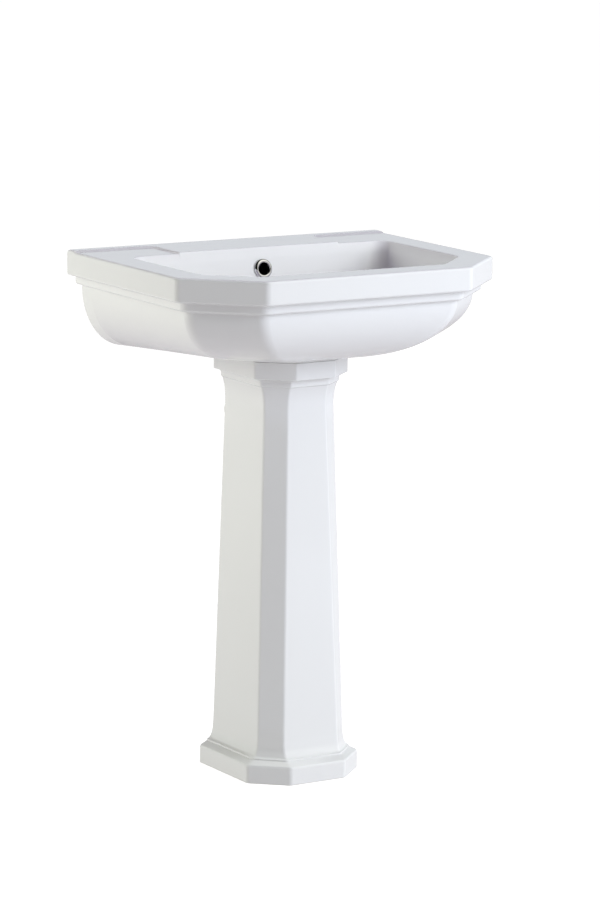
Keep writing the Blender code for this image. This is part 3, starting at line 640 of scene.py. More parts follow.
def basin_hollow():
    """The space under the deck, with the bowl's shell, the waste boss and the overflow passage left in."""
    band_z = RIM_Z - SLAB_BAND
    lower_z = band_z - LOWER_BAND
    levels = [
        (RIM_Z - 0.014, SKIN + 0.002),
        (band_z + SKIN + 0.001, SKIN + 0.002),
        (band_z + SKIN - 0.002, LOWER_BAND_INSET + SKIN),
        (lower_z + SKIN - 0.001, LOWER_BAND_INSET + SKIN),
        (lower_z + 0.004, BODY_INSET + SKIN),
    ]
    rings = [slab_ring(gap, z, SKIN, 3) for z, gap in levels]
    hollow = loft("hollow", rings + skirt_rings(SKIN, 3, 14))
    way_in = outline(0.066, 0.235, 0.030, 0.266, -0.020)
    floor_cut = prism("floor_cut", way_in, 0.004, SEAT_Z - 0.010, UNDER_Z + SKIN + 0.006)
    low_z = UNDER_Z + SKIN + 0.003
    corners = [(-0.150, -0.765), (0.150, -0.765), (0.150, -low_z), (-0.150, -low_z)]
    back_cut = prism("back_cut", corners, 0.014, out(SKIN + 0.006), out(-0.010))
    back_cut.data.transform(Matrix(((1, 0, 0, 0), (0, 0, 1, 0), (0, -1, 0, 0), (0, 0, 0, 1))))
    boolean(hollow, "UNION", floor_cut, back_cut)

    shell_rings = [bowl_ring(*level, shell=BOWL_SHELL, steps=5) for level in bowl_profile()[::3]]
    top = [Vector((point.x, point.y, RIM_Z + 0.010)) for point in shell_rings[0]]
    shell = loft("bowl_shell", [top] + shell_rings[1:])
    boss = rod("boss", BOSS_R, BOSS_Z, DRAIN_Z - 0.002)
    stand(boss, (*DRAIN, 0))
    rib_y = out(DUCT_OUT - DUCT_R - 0.006)
    rib_front = out(BOWL_BACK + 0.030)
    upper = [(-0.020, rib_front), (0.020, rib_front), (0.020, rib_y), (-0.020, rib_y)]
    rib_upper = prism("rib_upper", upper, 0.005, DUCT_Z, OVERFLOW_Z + 0.017)
    rib_lower = box("rib_lower", (-0.018, out(0.205), BOSS_Z + 0.0015), (0.018, rib_y, DRAIN_Z - 0.004))
    return boolean(hollow, "DIFFERENCE", shell, boss, rib_upper, rib_lower)


def duct():
    turn = 0.010
    points = filleted([
        (out(OVERFLOW_OUT + 0.004), OVERFLOW_Z, 0),
        (out(DUCT_OUT), OVERFLOW_Z, turn),
        (out(DUCT_OUT), DUCT_Z, turn),
        (DRAIN.y, DUCT_Z, 0),
    ])
    return tube("duct", [(0, y, z) for y, z in points], DUCT_R)


def build_basin():
    china = LOOKS["china"]
    basin = paint(basin_body(), china)
    seat = paint(prism("seat", COLLAR, 0.004, SEAT_Z, UNDER_Z + SKIN - 0.002), china)
    boolean(basin, "UNION", seat)
    lip = 0.0010
    drain_profile = filleted([
        (0, DRAIN_Z + 0.006, 0),
        (SEAT_R + lip, DRAIN_Z + 0.006, 0),
        (SEAT_R + lip, DRAIN_Z, 0),
        (SEAT_R, DRAIN_Z - lip, 0),
        (SEAT_R, DRAIN_Z - SEAT_DEPTH, 0),
        (DRAIN_HOLE_R, DRAIN_Z - SEAT_DEPTH, 0),
        (DRAIN_HOLE_R, BOSS_Z - 0.010, 0),
        (0, BOSS_Z - 0.010, 0),
    ])
    drain = stand(lathe("drain", drain_profile), (*DRAIN, 0))
    hole = rod("overflow_hole", OVERFLOW_HOLE_R, -0.015, 0.012)
    stand(hole, (0, out(OVERFLOW_OUT), OVERFLOW_Z), math.pi / 2 - OVERFLOW_TILT)
    bolt_holes = []
    for side in (-1, 1):
        bolt_hole = paint(rod("bolt_hole", 0.009, -0.010, 0.020, 48), LOOKS["clay"])
        bolt_holes.append(stand(bolt_hole, (side * BOLT_X, WALL_Y, BOLT_Z), math.pi / 2))
    paint(drain, china)
    # The overflow hole's walls get the near-black passage colour: painted shade.
    paint(hole, LOOKS["passage"])
    hollow = paint(basin_hollow(), LOOKS["clay"])
    # The duct's walls, cut into the basin, get the same near-black painted shade.
    passage = paint(duct(), LOOKS["passage"])
    boolean(basin, "DIFFERENCE", hollow, drain, passage, hole, *bolt_holes)
    dress(basin, None, "sink", "glazed_china", "basin", flat=True)


# ---------------------------------------------------------------- pedestal


def pedestal_rings():
    """From the collar's top to the floor; u is how far a level stands out from the shaft, in metres."""
    collar = 0.0228
    plinth = 0.0249
    top = [
        (0.90, PED_TOP_Z, 0),
        (1.00, PED_TOP_Z, 0.0010),
        (1.00, 0.6648, 0.0016),
        (0.50, 0.6622, 0.0020),
        (0.39, 0.6580, None),
        (0.38, 0.6512, 0.0010),
        (0.27, 0.6500, None),
        (0.18, 0.6440, None),
        (0.09, 0.6360, None),
        (0.03, 0.6270, None),
        (0.00, 0.6150, None),
        (0.00, 0.5800, 0),
    ]
    bottom = [
        (0.00, 0.0900, 0),
        (0.00, 0.0640, None),
        (0.09, 0.0500, None),
        (0.28, 0.0412, None),
        (0.45, 0.0395, 0.0008),
        (0.46, 0.0368, 0.0008),
        (0.95, 0.0308, 0.0020),
        (1.00, 0.0274, 0.0014),
        (1.00, 0.0, 0.0015),
        (0.90, 0.0, 0),
    ]
    top = filleted([(share * collar, z, radius) for share, z, radius in top], 4)
    bottom = filleted([(share * plinth, z, radius) for share, z, radius in bottom], 4)
    rings = []
    foot_corner = 0.0115
    shaft_top = 0.6150
    shaft_foot = 0.0640
    for u, z in top[1:]:
        lean = blend(NECK, ANKLE, max(0.0, (shaft_top - z) / (shaft_top - shaft_foot)))
        rings.append(rounded(blend(lean, COLLAR, u / collar), six_radii(COLLAR_CORNER), z, 6))
    for u, z in bottom[:-1]:
        lean = blend(ANKLE, NECK, max(0.0, (z - shaft_foot) / (shaft_top - shaft_foot)))
        corner = COLLAR_CORNER + (foot_corner - COLLAR_CORNER) * u / plinth
        rings.append(rounded(blend(lean, PLINTH, u / plinth), six_radii(corner), z, 6))
    return rings


def pedestal_hollow():
    levels = [
        (PED_TOP_Z + 0.010, COLLAR),
        (0.672, COLLAR),
        (0.640, NECK),
        (0.600, NECK),
        (0.060, ANKLE),
        (0.035, ANKLE),
        (0.022, PLINTH),
        (0.014, PLINTH),
    ]
    hollow = loft("pedestal_hollow", [
        rounded(sides_inset(section, PED_WALL, PED_WALL), six_radii(0.006), z, 4) for z, section in levels
    ])
    slot_low = (-BACK_SLOT / 2, out(PED_BACK + PED_WALL + 0.004), -0.010)
    slot = box("back_slot", slot_low, (BACK_SLOT / 2, out(PED_BACK - 0.010), PED_TOP_Z + 0.010))
    foot = outline(0.072, 0.235, 0.030, 0.272, PED_BACK + PED_WALL)
    foot_cut = prism("foot_cut", foot, 0.005, -0.010, 0.020)
    return boolean(hollow, "UNION", slot, foot_cut)


def build_pedestal():
    pedestal = paint(loft("pedestal_fine", pedestal_rings()), LOOKS["china"])
    screw_holes = []
    for side in (-1, 1):
        screw_hole = paint(rod("screw_hole", 0.004, -0.010, 0.030, 32), LOOKS["china"])
        screw_holes.append(stand(screw_hole, (side * FOOT_SCREW_X, out(FOOT_SCREW_OUT), 0)))
    boolean(pedestal, "DIFFERENCE", paint(pedestal_hollow(), LOOKS["clay"]), *screw_holes)
    dress(pedestal, None, "sink", "glazed_china", "pedestal", flat=True)


def build_gasket():
    """A thin bead between the pedestal's collar and the basin's seat, nearly flush with both."""
    low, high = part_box("pedestal_gasket")
    edge = 0.0005
    levels = [(2 * edge, low[2]), (edge, low[2] + edge), (edge, high[2] - edge), (2 * edge, high[2])]
    gasket = loft("pedestal_gasket_fine", [
        rounded(sides_inset(COLLAR, gap, gap), six_radii(COLLAR_CORNER), z, 6) for gap, z in levels
    ])
    inner = inset(COLLAR, [0.0095] * 5 + [-0.010])
    boolean(gasket, "DIFFERENCE", prism("gasket_middle", inner, 0.003, low[2] - 0.001, high[2] + 0.001))
    dress(gasket, LOOKS["silicone"], "sink", "white_silicone", "pedestal_gasket")


# ---------------------------------------------------------------- pieces


def dress(obj, material, body, slot, *nodes, flat=False):
    """Gives a finished piece its material and its body, and hides the CAD nodes that it stands for.

    Without a material, the piece keeps those that it has.
    """
    shade(obj)
    if material:
        paint(obj, material)
    if flat:
        weighted = obj.modifiers.new("flat faces", "WEIGHTED_NORMAL")
        weighted.keep_sharp = True
        weighted.weight = 60
    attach(obj, body)
    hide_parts(*nodes)


def build_overflow_ring():
    profile = filleted([
        (0.0105, -0.0080, 0), (0.0105, 0.0034, 0.0010), (0.0122, 0.0044, None), (0.0140, 0.0040, None),
        (0.0156, 0.0028, None), (0.0165, 0.0012, None), (0.0165, 0.0003, 0.0002), (0.0120, 0.0003, 0),
        (0.0120, -0.0080, 0),
    ])
    ring = lathe("overflow_ring_fine", profile, 128)
    stand(ring, (0, out(OVERFLOW_OUT), OVERFLOW_Z), math.pi / 2 - OVERFLOW_TILT)
    dress(ring, LOOKS["chrome"], "sink", "polished_chrome", "overflow_ring")


def helix(radius, pitch, depth, low, high):
    """A thread: points at this radius between low and high move in and out along a helix."""
    def shape(r, z, angle):
        if abs(r - radius) > 0.00001 or not low <= z <= high:
            return r
        runout = min(1.0, (z - low) / pitch, (high - z) / pitch)
        wave = 0.5 - 0.5 * math.cos(2 * math.pi * (z / pitch - angle / (2 * math.pi)))
        return r - depth * runout * wave
    return shape


def thread_line(radius, high, low, pitch):
    """Profile points down a threaded stretch, eight for each turn."""
    count = round((high - low) / pitch * 8)
    return [(radius, high + (low - high) * k / count) for k in range(count + 1)]


def hexagonal(across_flats):
    def shape(r, z, angle):
        off = (angle + math.pi / 6) % (math.pi / 3) - math.pi / 6
        return min(r, across_flats / 2 / math.cos(off))
    return shape


def ribbed(radius, ribs, depth, low, high):
    """Grip ribs on the points at this radius between low and high."""
    def shape(r, z, angle):
        if r < radius - 0.0003 or not low <= z <= high:
            return r
        return r - depth * (0.5 - 0.5 * math.cos(ribs * angle)) ** 0.6
    return shape


def ring_profile(outer, inner, high, low, round_by=0.0004):
    """A plain ring's section with rounded corners."""
    middle = (outer + inner) / 2
    corners = [
        (middle, high, 0),
        (outer, high, round_by),
        (outer, low, round_by),
        (inner, low, round_by),
        (inner, high, round_by),
        (middle, high, 0),
    ]
    return filleted(corners, 4)[:-1]


def add_turned(node, profile, look, body="sink", steps=96, shape=None, place=None, tilt=0.0):
    """A turned piece that stands for one node, on the waste's axis unless a place is given."""
    piece = lathe(node + "_fine", profile, steps, shape)
    stand(piece, place or (*DRAIN, 0), tilt)
    dress(piece, LOOKS[look], body, SLOTS[look], node)


def add_ring(node, outer, inner, look, body="sink", round_by=0.0004):
    """A plain ring on the waste's axis, as high as the node that it stands for."""
    low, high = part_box(node)
    add_turned(node, ring_profile(outer, inner, high.z, low.z, round_by), look, body)


def build_waste():
    flange_z = 0.7331
    flange_top = flange_z + 0.0025
    tail_r = 0.0209
    bore = 0.0180
    tail_end = FLANGE_LOW.z
    pitch = 0.0023
    thread_top = 0.6895
    profile = filleted([
        (0.0262, flange_top, 0), (0.0320, flange_top, 0.0006), (0.0325, flange_top - 0.0008, None),
        (0.0325, flange_z, 0.0003), (tail_r, flange_z, 0), (tail_r, thread_top, 0),
    ])
    profile += thread_line(tail_r, thread_top, tail_end + 0.0004, pitch)[1:]
    profile += [(tail_r - 0.0006, tail_end), (bore, tail_end), (bore, flange_z - 0.006)]
    profile += [(bore + 0.0012, flange_z - 0.001), (0.0245, flange_top - 0.0008)]
    thread = helix(tail_r, pitch, 0.0008, tail_end + 0.0004, thread_top)
    waste = lathe("waste_body_fine", profile, 96, thread)
    bar_z = 0.7115
    across = bore + 0.0015
    bars = [
        box("bar_x", (-across, -0.0025, bar_z - 0.004), (across, 0.0025, bar_z)),
        box("bar_y", (-0.0025, -across, bar_z - 0.004), (0.0025, across, bar_z)),
        rod("hub", 0.0095, bar_z - 0.005, bar_z, 48),
    ]
    boolean(waste, "UNION", *bars)
    cuts = [rod("hub_bore", 0.0073, 0.690, 0.740, 48)]
    for k in range(4):
        window = box("window", (0.0165, -0.005, DUCT_Z - 0.008), (0.024, 0.005, DUCT_Z + 0.006))
        window.data.transform(Matrix.Rotation(math.radians(45 + 90 * k), 4, "Z"))
        cuts.append(window)
    boolean(waste, "DIFFERENCE", *cuts)
    stand(waste, (*DRAIN, 0))
    dress(waste, LOOKS["chrome"], "sink", "polished_chrome", "waste_body")

    low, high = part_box("waste_bottom_seal")
    cone = filleted([
        (0.0212, high.z, 0), (0.0300, high.z, 0.0006), (0.0270, low.z, 0.0008), (0.0212, low.z, 0),
    ])
    add_turned("waste_bottom_seal", cone, "rubber")
    add_ring("waste_washer", 0.0290, 0.0212, "plastic")
    add_ring("waste_top_seal", 0.0315, 0.0212, "rubber")
    low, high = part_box("waste_backnut")
    add_turned("waste_backnut", nut_profile(0.0312, 0.0212, high.z, low.z, 0.0020), "brass",
               steps=192, shape=hexagonal(high.y - low.y))


def nut_profile(corner_r, bore, high, low, chamfer):
    """A nut's section out to its corners, chamfered at both ends and at the bore."""
    return [
        (bore, high - 0.0006), (bore + 0.0006, high), (corner_r - chamfer * 1.4, high),
        (corner_r, high - chamfer * 0.6), (corner_r, (high + low) / 2),
        (corner_r, low + chamfer * 0.6), (corner_r - chamfer * 1.4, low), (bore + 0.0006, low),
        (bore, low + 0.0006),
    ]


def build_plug():
    low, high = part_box("plug_cap")
    rim_z = high.z - 0.0070
    cap = filleted([
        (0, high.z, 0), (0.0120, high.z - 0.0006, None), (0.0220, high.z - 0.0025, None),
        (0.0285, high.z - 0.0050, None), (0.0300, high.z - 0.0062, 0.0006), (0.0296, rim_z, 0.0003),
        (0.0060, rim_z, 0), (0.0060, low.z, 0.0004), (0.0033, low.z, 0), (0.0033, rim_z + 0.0020, 0),
        (0, rim_z + 0.0020, 0),
    ])
    add_turned("plug_cap", cap, "chrome", "plug", 128)
    add_ring("plug_seal", 0.0285, 0.0063, "rubber", "plug")


def along_outlet(node):
    """Where a node starts and ends, measured along the outlet from the waste's axis."""
    return [corner.y - DRAIN.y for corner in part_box(node)]


def build_trap():
    low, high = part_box("trap_inlet_nut")
    inlet_nut = filleted([
        (0.0212, high.z, 0), (0.0245, high.z, 0.0008), (0.0252, high.z - 0.0030, 0.0006),
        (0.0265, high.z - 0.0036, 0.0004), (0.0265, (high.z + low.z) / 2, 0),
        (0.0265, low.z + 0.0016, 0.0010), (0.0250, low.z, 0.0004), (0.0163, low.z, 0),
        (0.0163, low.z + 0.0020, 0), (0.0212, low.z + 0.0020, 0),
    ])
    grip = ribbed(0.0265, 30, 0.0012, low.z + 0.0015, high.z - 0.0034)
    add_turned("trap_inlet_nut", inlet_nut, "plastic", steps=240, shape=grip)
    build_trap_body()
    build_trap_cup()

    on_outlet = {"place": (*DRAIN, OUTLET_Z), "tilt": -math.pi / 2}
    start, end = along_outlet("trap_outlet_nut")
    outlet_nut = filleted([
        (0.0163, end, 0), (0.0222, end, 0.0010), (0.0230, end - 0.0030, 0.0006),
        (0.0245, end - 0.0036, 0.0004), (0.0245, (start + end) / 2, 0),
        (0.0245, start + 0.0018, 0.0010), (0.0232, start, 0.0004), (0.0208, start, 0),
        (0.0208, end - 0.0070, 0), (0.0163, end - 0.0070, 0),
    ])
    grip = ribbed(0.0245, 28, 0.0012, start + 0.0017, end - 0.0034)
    add_turned("trap_outlet_nut", outlet_nut, "plastic", steps=224, shape=grip, **on_outlet)
    start, end = along_outlet("outlet_pipe")
    pipe = filleted([
        (PIPE_BORE_R, end - 0.0006, 0), (0.0144, end, 0), (0.0154, end, 0), (PIPE_R, end - 0.0006, 0),
        (PIPE_R, start + 0.0057, 0), (0.0200, start + 0.0057, 0.0004),
        (0.0200, start + 0.0030, 0.0004), (PIPE_R, start, 0), (PIPE_BORE_R, start, 0),
    ])
    add_turned("outlet_pipe", pipe, "plastic", **on_outlet)


def build_trap_body():
    low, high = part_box("trap_body")
    lip_z = high.z
    head_z = 0.606
    thread_top = 0.554
    thread_z = 0.540
    profile = filleted([
        (PIPE_BORE_R, lip_z, 0), (0.0206, lip_z, 0.0004), (0.0206, lip_z - 0.003, 0.0004),
        (PIPE_R, lip_z - 0.003, 0.0006), (PIPE_R, head_z + 0.0072, 0.0030),
        (0.0230, head_z + 0.0048, None), (0.0290, head_z + 0.0008, None),
        (0.0310, head_z - 0.0050, None), (0.0310, head_z - 0.0200, 0),
        (0.0310, thread_top + 0.0040, 0), (0.0316, thread_top + 0.0034, 0.0003),
        (0.0316, thread_top + 0.0002, 0.0003), (0.0285, thread_top, 0), (0.0285, thread_z, 0),
        (0.0260, thread_z, 0), (0.0260, head_z - 0.005, 0), (PIPE_R, head_z - 0.003, 0),
        (PIPE_R, low.z, 0), (PIPE_BORE_R, low.z, 0),
    ])
    body = lathe("trap_body_fine", profile)
    end = high.y - DRAIN.y
    spigot = lathe("spigot", filleted([
        (0, end, 0), (0.0205, end, 0.0004), (0.0205, end - 0.003, 0.0004), (PIPE_R, end - 0.003, 0),
        (PIPE_R, 0.0360, 0.0030), (0.0200, 0.0235, 0), (0, 0.0235, 0),
    ]))
    way = rod("way", PIPE_BORE_R, 0.0200, end + 0.007)
    for piece in (spigot, way):
        stand(piece, (0, 0, OUTLET_Z), -math.pi / 2)
    boolean(body, "UNION", spigot)
    boolean(body, "DIFFERENCE", way)
    stand(body, (*DRAIN, 0))
    dress(body, LOOKS["plastic"], "sink", "white_plastic", "trap_body")


def build_trap_cup():
    low = CUP_LOW.z
    top = CUP_HIGH.z
    collar = 0.0320
    profile = filleted([
        (0, low + 0.0025, 0), (0.0200, low + 0.0045, None), (0.0270, low + 0.0120, None),
        (0.0288, low + 0.0220, None), (0.0288, top, 0), (collar, top, 0.0006),
        (collar, top - 0.0120, 0), (collar, low + 0.0500, 0.0006), (0.0306, low + 0.0480, 0.0006),
        (0.0302, low + 0.0200, None), (0.0290, low + 0.0100, None), (0.0210, low + 0.0020, None),
        (0.0080, low + 0.0004, None), (0, low, 0),
    ])
    grip = ribbed(collar, 36, 0.0011, low + 0.0500, top - 0.0012)
    add_turned("trap_cup", profile, "plastic", steps=288, shape=grip)
    add_ring("trap_cup_seal", 0.0315, 0.0288, "rubber", round_by=0.0006)


def build_wall_fixing(side_name, side):
    """One hanger bolt with its bush, washer and nut; +Z of each points out from the wall."""
    place = (side * BOLT_X, WALL_Y, BOLT_Z)
    reach = CAD_BOUNDS[1][1] - WALL_Y
    bolt_r = 0.005
    pitch = 0.0015
    wood_pitch = 0.0042
    wood_r = bolt_r - 0.0002
    machine = thread_line(bolt_r, 0.0450, 0.0150, pitch)
    wood = thread_line(wood_r, -0.0150, -0.0440, wood_pitch)
    profile = [(0, 0.046), (bolt_r - 0.0012, 0.046)] + machine + [(bolt_r, -0.0120), (wood_r, -0.0125)]
    profile += wood + [(wood_r * 0.55, -0.0470), (0, -reach)]
    metal_thread = helix(bolt_r, pitch, 0.0009, 0.0150, 0.0450)
    wood_thread = helix(wood_r, wood_pitch, 0.0014, -0.0440, -0.0150)

    def shape(r, z, angle):
        return metal_thread(r, z, angle) if z > 0 else wood_thread(r, z, angle)

    facing = {"place": place, "tilt": math.pi / 2}
    add_turned("wall_bolt_" + side_name, profile, "steel", steps=48, shape=shape, **facing)
    skin = SKIN + 0.0003
    bush = filleted([
        (0.0053, skin + 0.0025, 0), (0.0145, skin + 0.0025, 0.0008), (0.0145, skin, 0.0003),
        (0.0086, skin, 0), (0.0086, 0.0005, 0.0005), (0.0053, 0.0005, 0),
    ])
    add_turned("wall_bush_" + side_name, bush, "plastic", **facing)
    low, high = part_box("wall_washer_" + side_name)
    washer = ring_profile(0.0125, 0.0053, WALL_Y - low.y, WALL_Y - high.y)
    add_turned("wall_washer_" + side_name, washer, "steel", **facing)
    low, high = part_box("wall_nut_" + side_name)
    nut = nut_profile(0.0098, 0.0053, WALL_Y - low.y, WALL_Y - high.y, 0.0014)
    add_turned("wall_nut_" + side_name, nut, "steel", steps=144, shape=hexagonal(0.017), **facing)


# ---------------------------------------------------------------- materials


class Graph:
    """The nodes of a material or world. A call adds a node and returns its output socket."""

    def __init__(self, owner):
        owner.use_nodes = True
        self.tree = owner.node_tree

    def fill(self, node, inputs):
        """Sets a node's inputs, or links them where the value is another node's output socket."""
        for name, value in inputs.items():
            socket = node.inputs[name]
            if isinstance(value, bpy.types.NodeSocket):
                self.tree.links.new(value, socket)
            else:
                socket.default_value = (*value, 1.0) if socket.type == "RGBA" else value

    def add(self, kind, output, inputs=None, **settings):
        node = self.tree.nodes.new("ShaderNode" + kind)
        for name, value in settings.items():
            setattr(node, name, value)
        self.fill(node, inputs or {})
        return node.outputs[output] if output else node

    def noise(self, scale, detail=4.0):
        """A noise texture on the object's own coordinates, in metres."""
        inputs = {"Scale": scale, "Detail": detail, "Vector": self.add("TexCoord", "Object")}
        return self.add("TexNoise", "Fac", inputs)

    def between(self, factor, low, high, start=0.3, end=0.7, **settings):
        """Maps a factor from start to end onto a value from low to high."""
        inputs = {"From Min": start, "From Max": end, "To Min": low, "To Max": high, "Value": factor}
        return self.add("MapRange", "Result", inputs, **settings)

    def mixed(self, factor, first, second):
        """A colour from first to second; either may be a colour or another node's output."""
        return self.add("Mix", "Result", {"Factor": factor, "A": first, "B": second}, data_type="RGBA")

    def bump(self, height, distance):
        return self.add("Bump", "Normal", {"Strength": 1.0, "Distance": distance, "Height": height})


class Look(Graph):
    """A new material with a Principled shader."""

    def __init__(self, name):
        self.material = bpy.data.materials.new(name)
        super().__init__(self.material)

    def finish(self, inputs):
        self.fill(self.tree.nodes["Principled BSDF"], inputs)
        return self.material


def clay_parts(look):
    """Colour and height of unglazed fired clay: a warm white with fine specks and pores."""
    speckle = look.noise(420.0, 2.0)
    cloud = look.noise(9.0, 3.0)
    pale = look.mixed(speckle, (0.72, 0.68, 0.61), (0.62, 0.58, 0.51))
    dark = look.mixed(speckle, (0.66, 0.62, 0.55), (0.57, 0.53, 0.46))
    return look.mixed(cloud, pale, dark), look.noise(900.0)


def glazed_china():
    """White glaze with a faint ripple, and bare clay where the piece meets the wall or the floor."""
    look = Look("glazed_china_look")
    axes = look.add("SeparateXYZ", None, {"Vector": look.add("TexCoord", "Object")})
    back = look.between(axes.outputs["Y"], 0.0, 1.0, WALL_Y - 0.0006, WALL_Y - TOUCH)
    foot = look.between(axes.outputs["Z"], 1.0, 0.0, 0.0002, 0.0012)
    bare = look.add("Math", "Value", {0: back, 1: foot}, operation="MAXIMUM")
    glaze = look.mixed(look.noise(5.0, 3.0), (0.795, 0.797, 0.792), (0.812, 0.812, 0.808))
    clay, pores = clay_parts(look)
    gloss = look.between(look.noise(14.0, 3.0), 0.05, 0.09)
    return look.finish({
        "Base Color": look.mixed(bare, glaze, clay),
        "Roughness": look.add("Mix", "Result", {"Factor": bare, "A": gloss, "B": 0.85}),
        "IOR": 1.52,
        "Normal": look.bump(look.noise(60.0, 2.0), 0.00005),
    })


def bare_clay():
    look = Look("bare_clay_look")
    colour, pores = clay_parts(look)
    return look.finish({
        "Base Color": colour,
        "Roughness": look.between(pores, 0.75, 0.95),
        "Normal": look.bump(pores, 0.0002),
    })


def painted_shade_passage():
    """The overflow's passage, painted near-black as painted shade for the dark inside of the overflow's
    passage and hole.
    """
    look = Look("wet_passage_look")
    cloud = look.noise(240.0)
    return look.finish({
        "Base Color": look.mixed(cloud, (0.006, 0.006, 0.006), (0.016, 0.015, 0.013)),
        "Roughness": look.between(cloud, 0.30, 0.60),
        "Specular IOR Level": 0.2,
        "Normal": look.bump(cloud, 0.0003),
    })


def metal(name, colour, tint, low, high, scale, ripple):
    """A metal whose polish varies a little."""
    look = Look(name)
    cloud = look.noise(scale)
    return look.finish({
        "Metallic": 1.0,
        "Base Color": look.mixed(cloud, colour, tint),
        "Roughness": look.between(cloud, low, high),
        "Normal": look.bump(look.noise(scale * 3, 2.0), ripple),
    })


def soft_material(name, colour, tint, low, high, scale, grain):
    """Rubber or plastic with a moulded grain."""
    look = Look(name)
    return look.finish({
        "Base Color": look.mixed(look.noise(scale / 8, 3.0), colour, tint),
        "Roughness": look.between(look.noise(scale, 3.0), low, high),
        "Normal": look.bump(look.noise(scale * 4, 3.0), grain),
    })


LOOKS = {
    "china": glazed_china(),
    "clay": bare_clay(),
    # passage: near-black painted shade for the inside of the overflow
    "passage": painted_shade_passage(),
    "chrome": metal(
        "polished_chrome_look", (0.66, 0.67, 0.68), (0.70, 0.70, 0.71), 0.03, 0.07, 60.0, 0.00001),
    "brass": metal(
        "turned_brass_look", (0.62, 0.45, 0.20), (0.74, 0.57, 0.30), 0.22, 0.40, 180.0, 0.00004),
    "steel": metal(
        "zinc_steel_look", (0.55, 0.56, 0.58), (0.68, 0.68, 0.66), 0.24, 0.42, 240.0, 0.00003),
    "silicone": soft_material(
        "white_silicone_look", (0.79, 0.79, 0.77), (0.83, 0.83, 0.81), 0.45, 0.60, 400.0, 0.00002),
    "rubber": soft_material(
        "black_rubber_look", (0.020, 0.020, 0.020), (0.035, 0.034, 0.033), 0.55, 0.80, 500.0, 0.00004),
    "plastic": soft_material(
        "white_plastic_look", (0.78, 0.78, 0.76), (0.82, 0.82, 0.80), 0.28, 0.42, 300.0, 0.00002),
}
SLOTS = {
    "chrome": "polished_chrome",
    "brass": "turned_brass",
    "steel": "zinc_steel",
    "rubber": "black_rubber",
    "plastic": "white_plastic",
}


def repaint(**nodes):
    """New materials for the CAD nodes that stay: node=look."""
    for node, look in nodes.items():
        paint(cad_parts[node], LOOKS[look])


# ---------------------------------------------------------------- studio


def floor_plane(name, z, tone, glow):
    bm = bmesh.new()
    bmesh.ops.create_grid(bm, x_segments=1, y_segments=1, size=FLOOR_HALF)
    floor = finish_mesh(name, bm)
    floor.location.z = z
    look = Look(name + "_look")
    paint(floor, look.finish({
        "Base Color": look.mixed(look.noise(0.4, 2.0), (tone,) * 3, (tone + 0.01,) * 3),
        "Roughness": 0.9,
        "Specular IOR Level": 0.0,
        "Emission Color": glow,
        "Emission Strength": 1.0,
    }))
    return floor


def build_floor():
    """A white floor for the eye, over a dimmer one that throws light back up."""
    seen = floor_plane("floor", 0.0, FLOOR_TONE, FLOOR_GLOW)
    seen.visible_diffuse = False
    seen.visible_glossy = False
    seen.visible_shadow = False
    bounce = floor_plane("floor_bounce", BOUNCE_Z, BOUNCE_TONE, BOUNCE_GLOW)
    bounce.visible_camera = False


def heading(azimuth, elevation):
    """The direction to something at this azimuth and elevation; azimuth 0 is in front, + is to the right."""
    turn = math.radians(azimuth)
    rise = math.radians(elevation)
    return Vector((math.sin(turn) * math.cos(rise), -math.cos(turn) * math.cos(rise), math.sin(rise)))


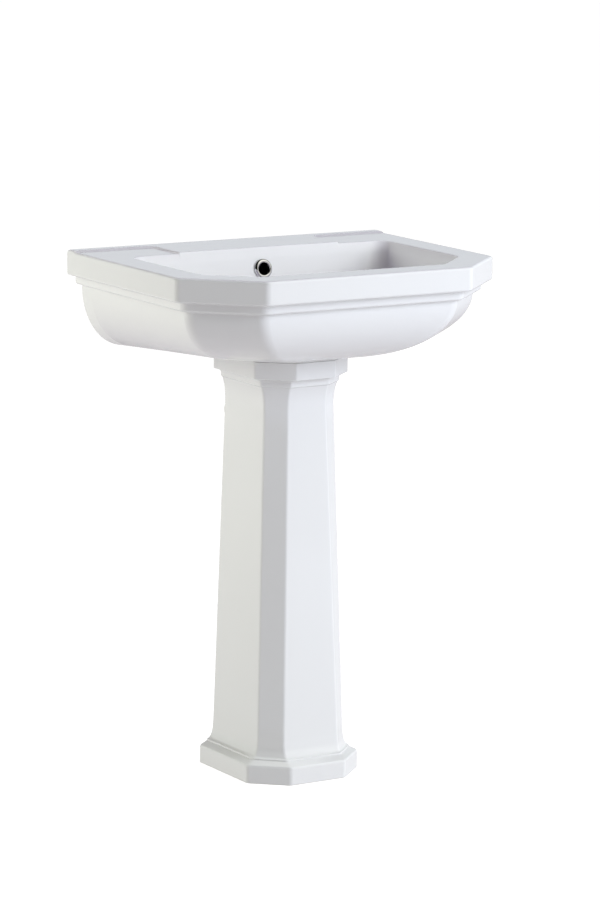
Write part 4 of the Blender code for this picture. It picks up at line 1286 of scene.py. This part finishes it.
def build_world():
    """A white backdrop behind, a dim studio in front, and soft panels of light around."""
    world = bpy.data.worlds.new("studio")
    bpy.context.scene.world = world
    graph = Graph(world)
    graph.tree.nodes.clear()
    place = graph.add("TexCoord", "Generated")
    height = graph.add("SeparateXYZ", "Z", {"Vector": place})
    soft = {"interpolation_type": "SMOOTHSTEP"}
    total = None
    for colour, direction, wide, narrow, (full_below, ends_at) in PANELS:
        start, end = [math.cos(math.radians(angle)) for angle in (wide, narrow)]
        low, high = [math.sin(math.radians(angle)) for angle in (full_below, ends_at)]
        facing = graph.add("VectorMath", "Value", {0: place, 1: direction}, operation="DOT_PRODUCT")
        share = graph.between(facing, 0.0, 1.0, start, end, **soft)
        under = graph.between(height, 1.0, 0.0, low, high, **soft)
        both = graph.add("Math", "Value", {0: share, 1: under}, operation="MULTIPLY")
        panel = graph.add("VectorMath", "Vector", {0: colour, "Scale": both}, operation="SCALE")
        total = panel if total is None else graph.add("VectorMath", "Vector", {0: total, 1: panel})
    surround = graph.add("Background", "Background", {"Color": total})
    backdrop = graph.add("Background", "Background", {"Color": (1.0, 1.0, 1.0)})
    seen = graph.add("LightPath", "Is Camera Ray")
    mix = graph.add("MixShader", "Shader", {"Fac": seen, 1: surround, 2: backdrop})
    graph.add("OutputWorld", None, {"Surface": mix})


def softbox(name, azimuth, elevation, power, colour):
    """A square area light that faces the middle of the sink and isn't seen in reflections."""
    direction = heading(azimuth, elevation)
    light = bpy.data.lights.new(name, "AREA")
    light.shape = "SQUARE"
    light.size = SOFTBOX_SIZE
    light.energy = power
    light.color = colour
    lamp = new_object(name, light)
    lamp.location = Vector((0, 0, SOFTBOX_AIM_Z)) + direction * SOFTBOX_DISTANCE
    lamp.rotation_euler = direction.to_track_quat("Z", "Y").to_euler()
    lamp.visible_glossy = False


def build_camera():
    azimuth = math.radians(CAMERA_AZIMUTH)
    roll = math.radians(CAMERA_ROLL)
    back = heading(CAMERA_AZIMUTH, CAMERA_ELEVATION)
    level = Vector((math.cos(azimuth), math.sin(azimuth), 0.0))
    upright = back.cross(level)
    right = level * math.cos(roll) + upright * math.sin(roll)
    up = upright * math.cos(roll) - level * math.sin(roll)
    place = CAMERA_TARGET + back * CAMERA_DISTANCE
    lens = bpy.data.cameras.new("camera")
    lens.sensor_width = SENSOR_WIDTH
    lens.lens = LENS
    camera = new_object("camera", lens)
    rows = [(*axes, far) for *axes, far in zip(right, up, back, place)]
    camera.matrix_world = Matrix(rows + [(0, 0, 0, 1)])
    bpy.context.scene.camera = camera


def build_studio():
    build_camera()
    build_world()
    build_floor()
    for number, (azimuth, elevation, power, colour) in enumerate(SOFTBOXES):
        softbox("softbox_%d" % (number + 1), azimuth, elevation, power, colour)
    bpy.context.scene.view_settings.view_transform = "Standard"


def main():
    build_basin()
    build_overflow_ring()
    build_pedestal()
    build_gasket()
    build_waste()
    build_plug()
    build_trap()
    build_wall_fixing("left", -1)
    build_wall_fixing("right", 1)
    repaint(
        trap_inlet_seal="rubber",
        trap_outlet_seal="rubber",
        plug_stem="brass",
        click_cartridge="plastic",
        click_spring="steel",
    )
    build_studio()


main()
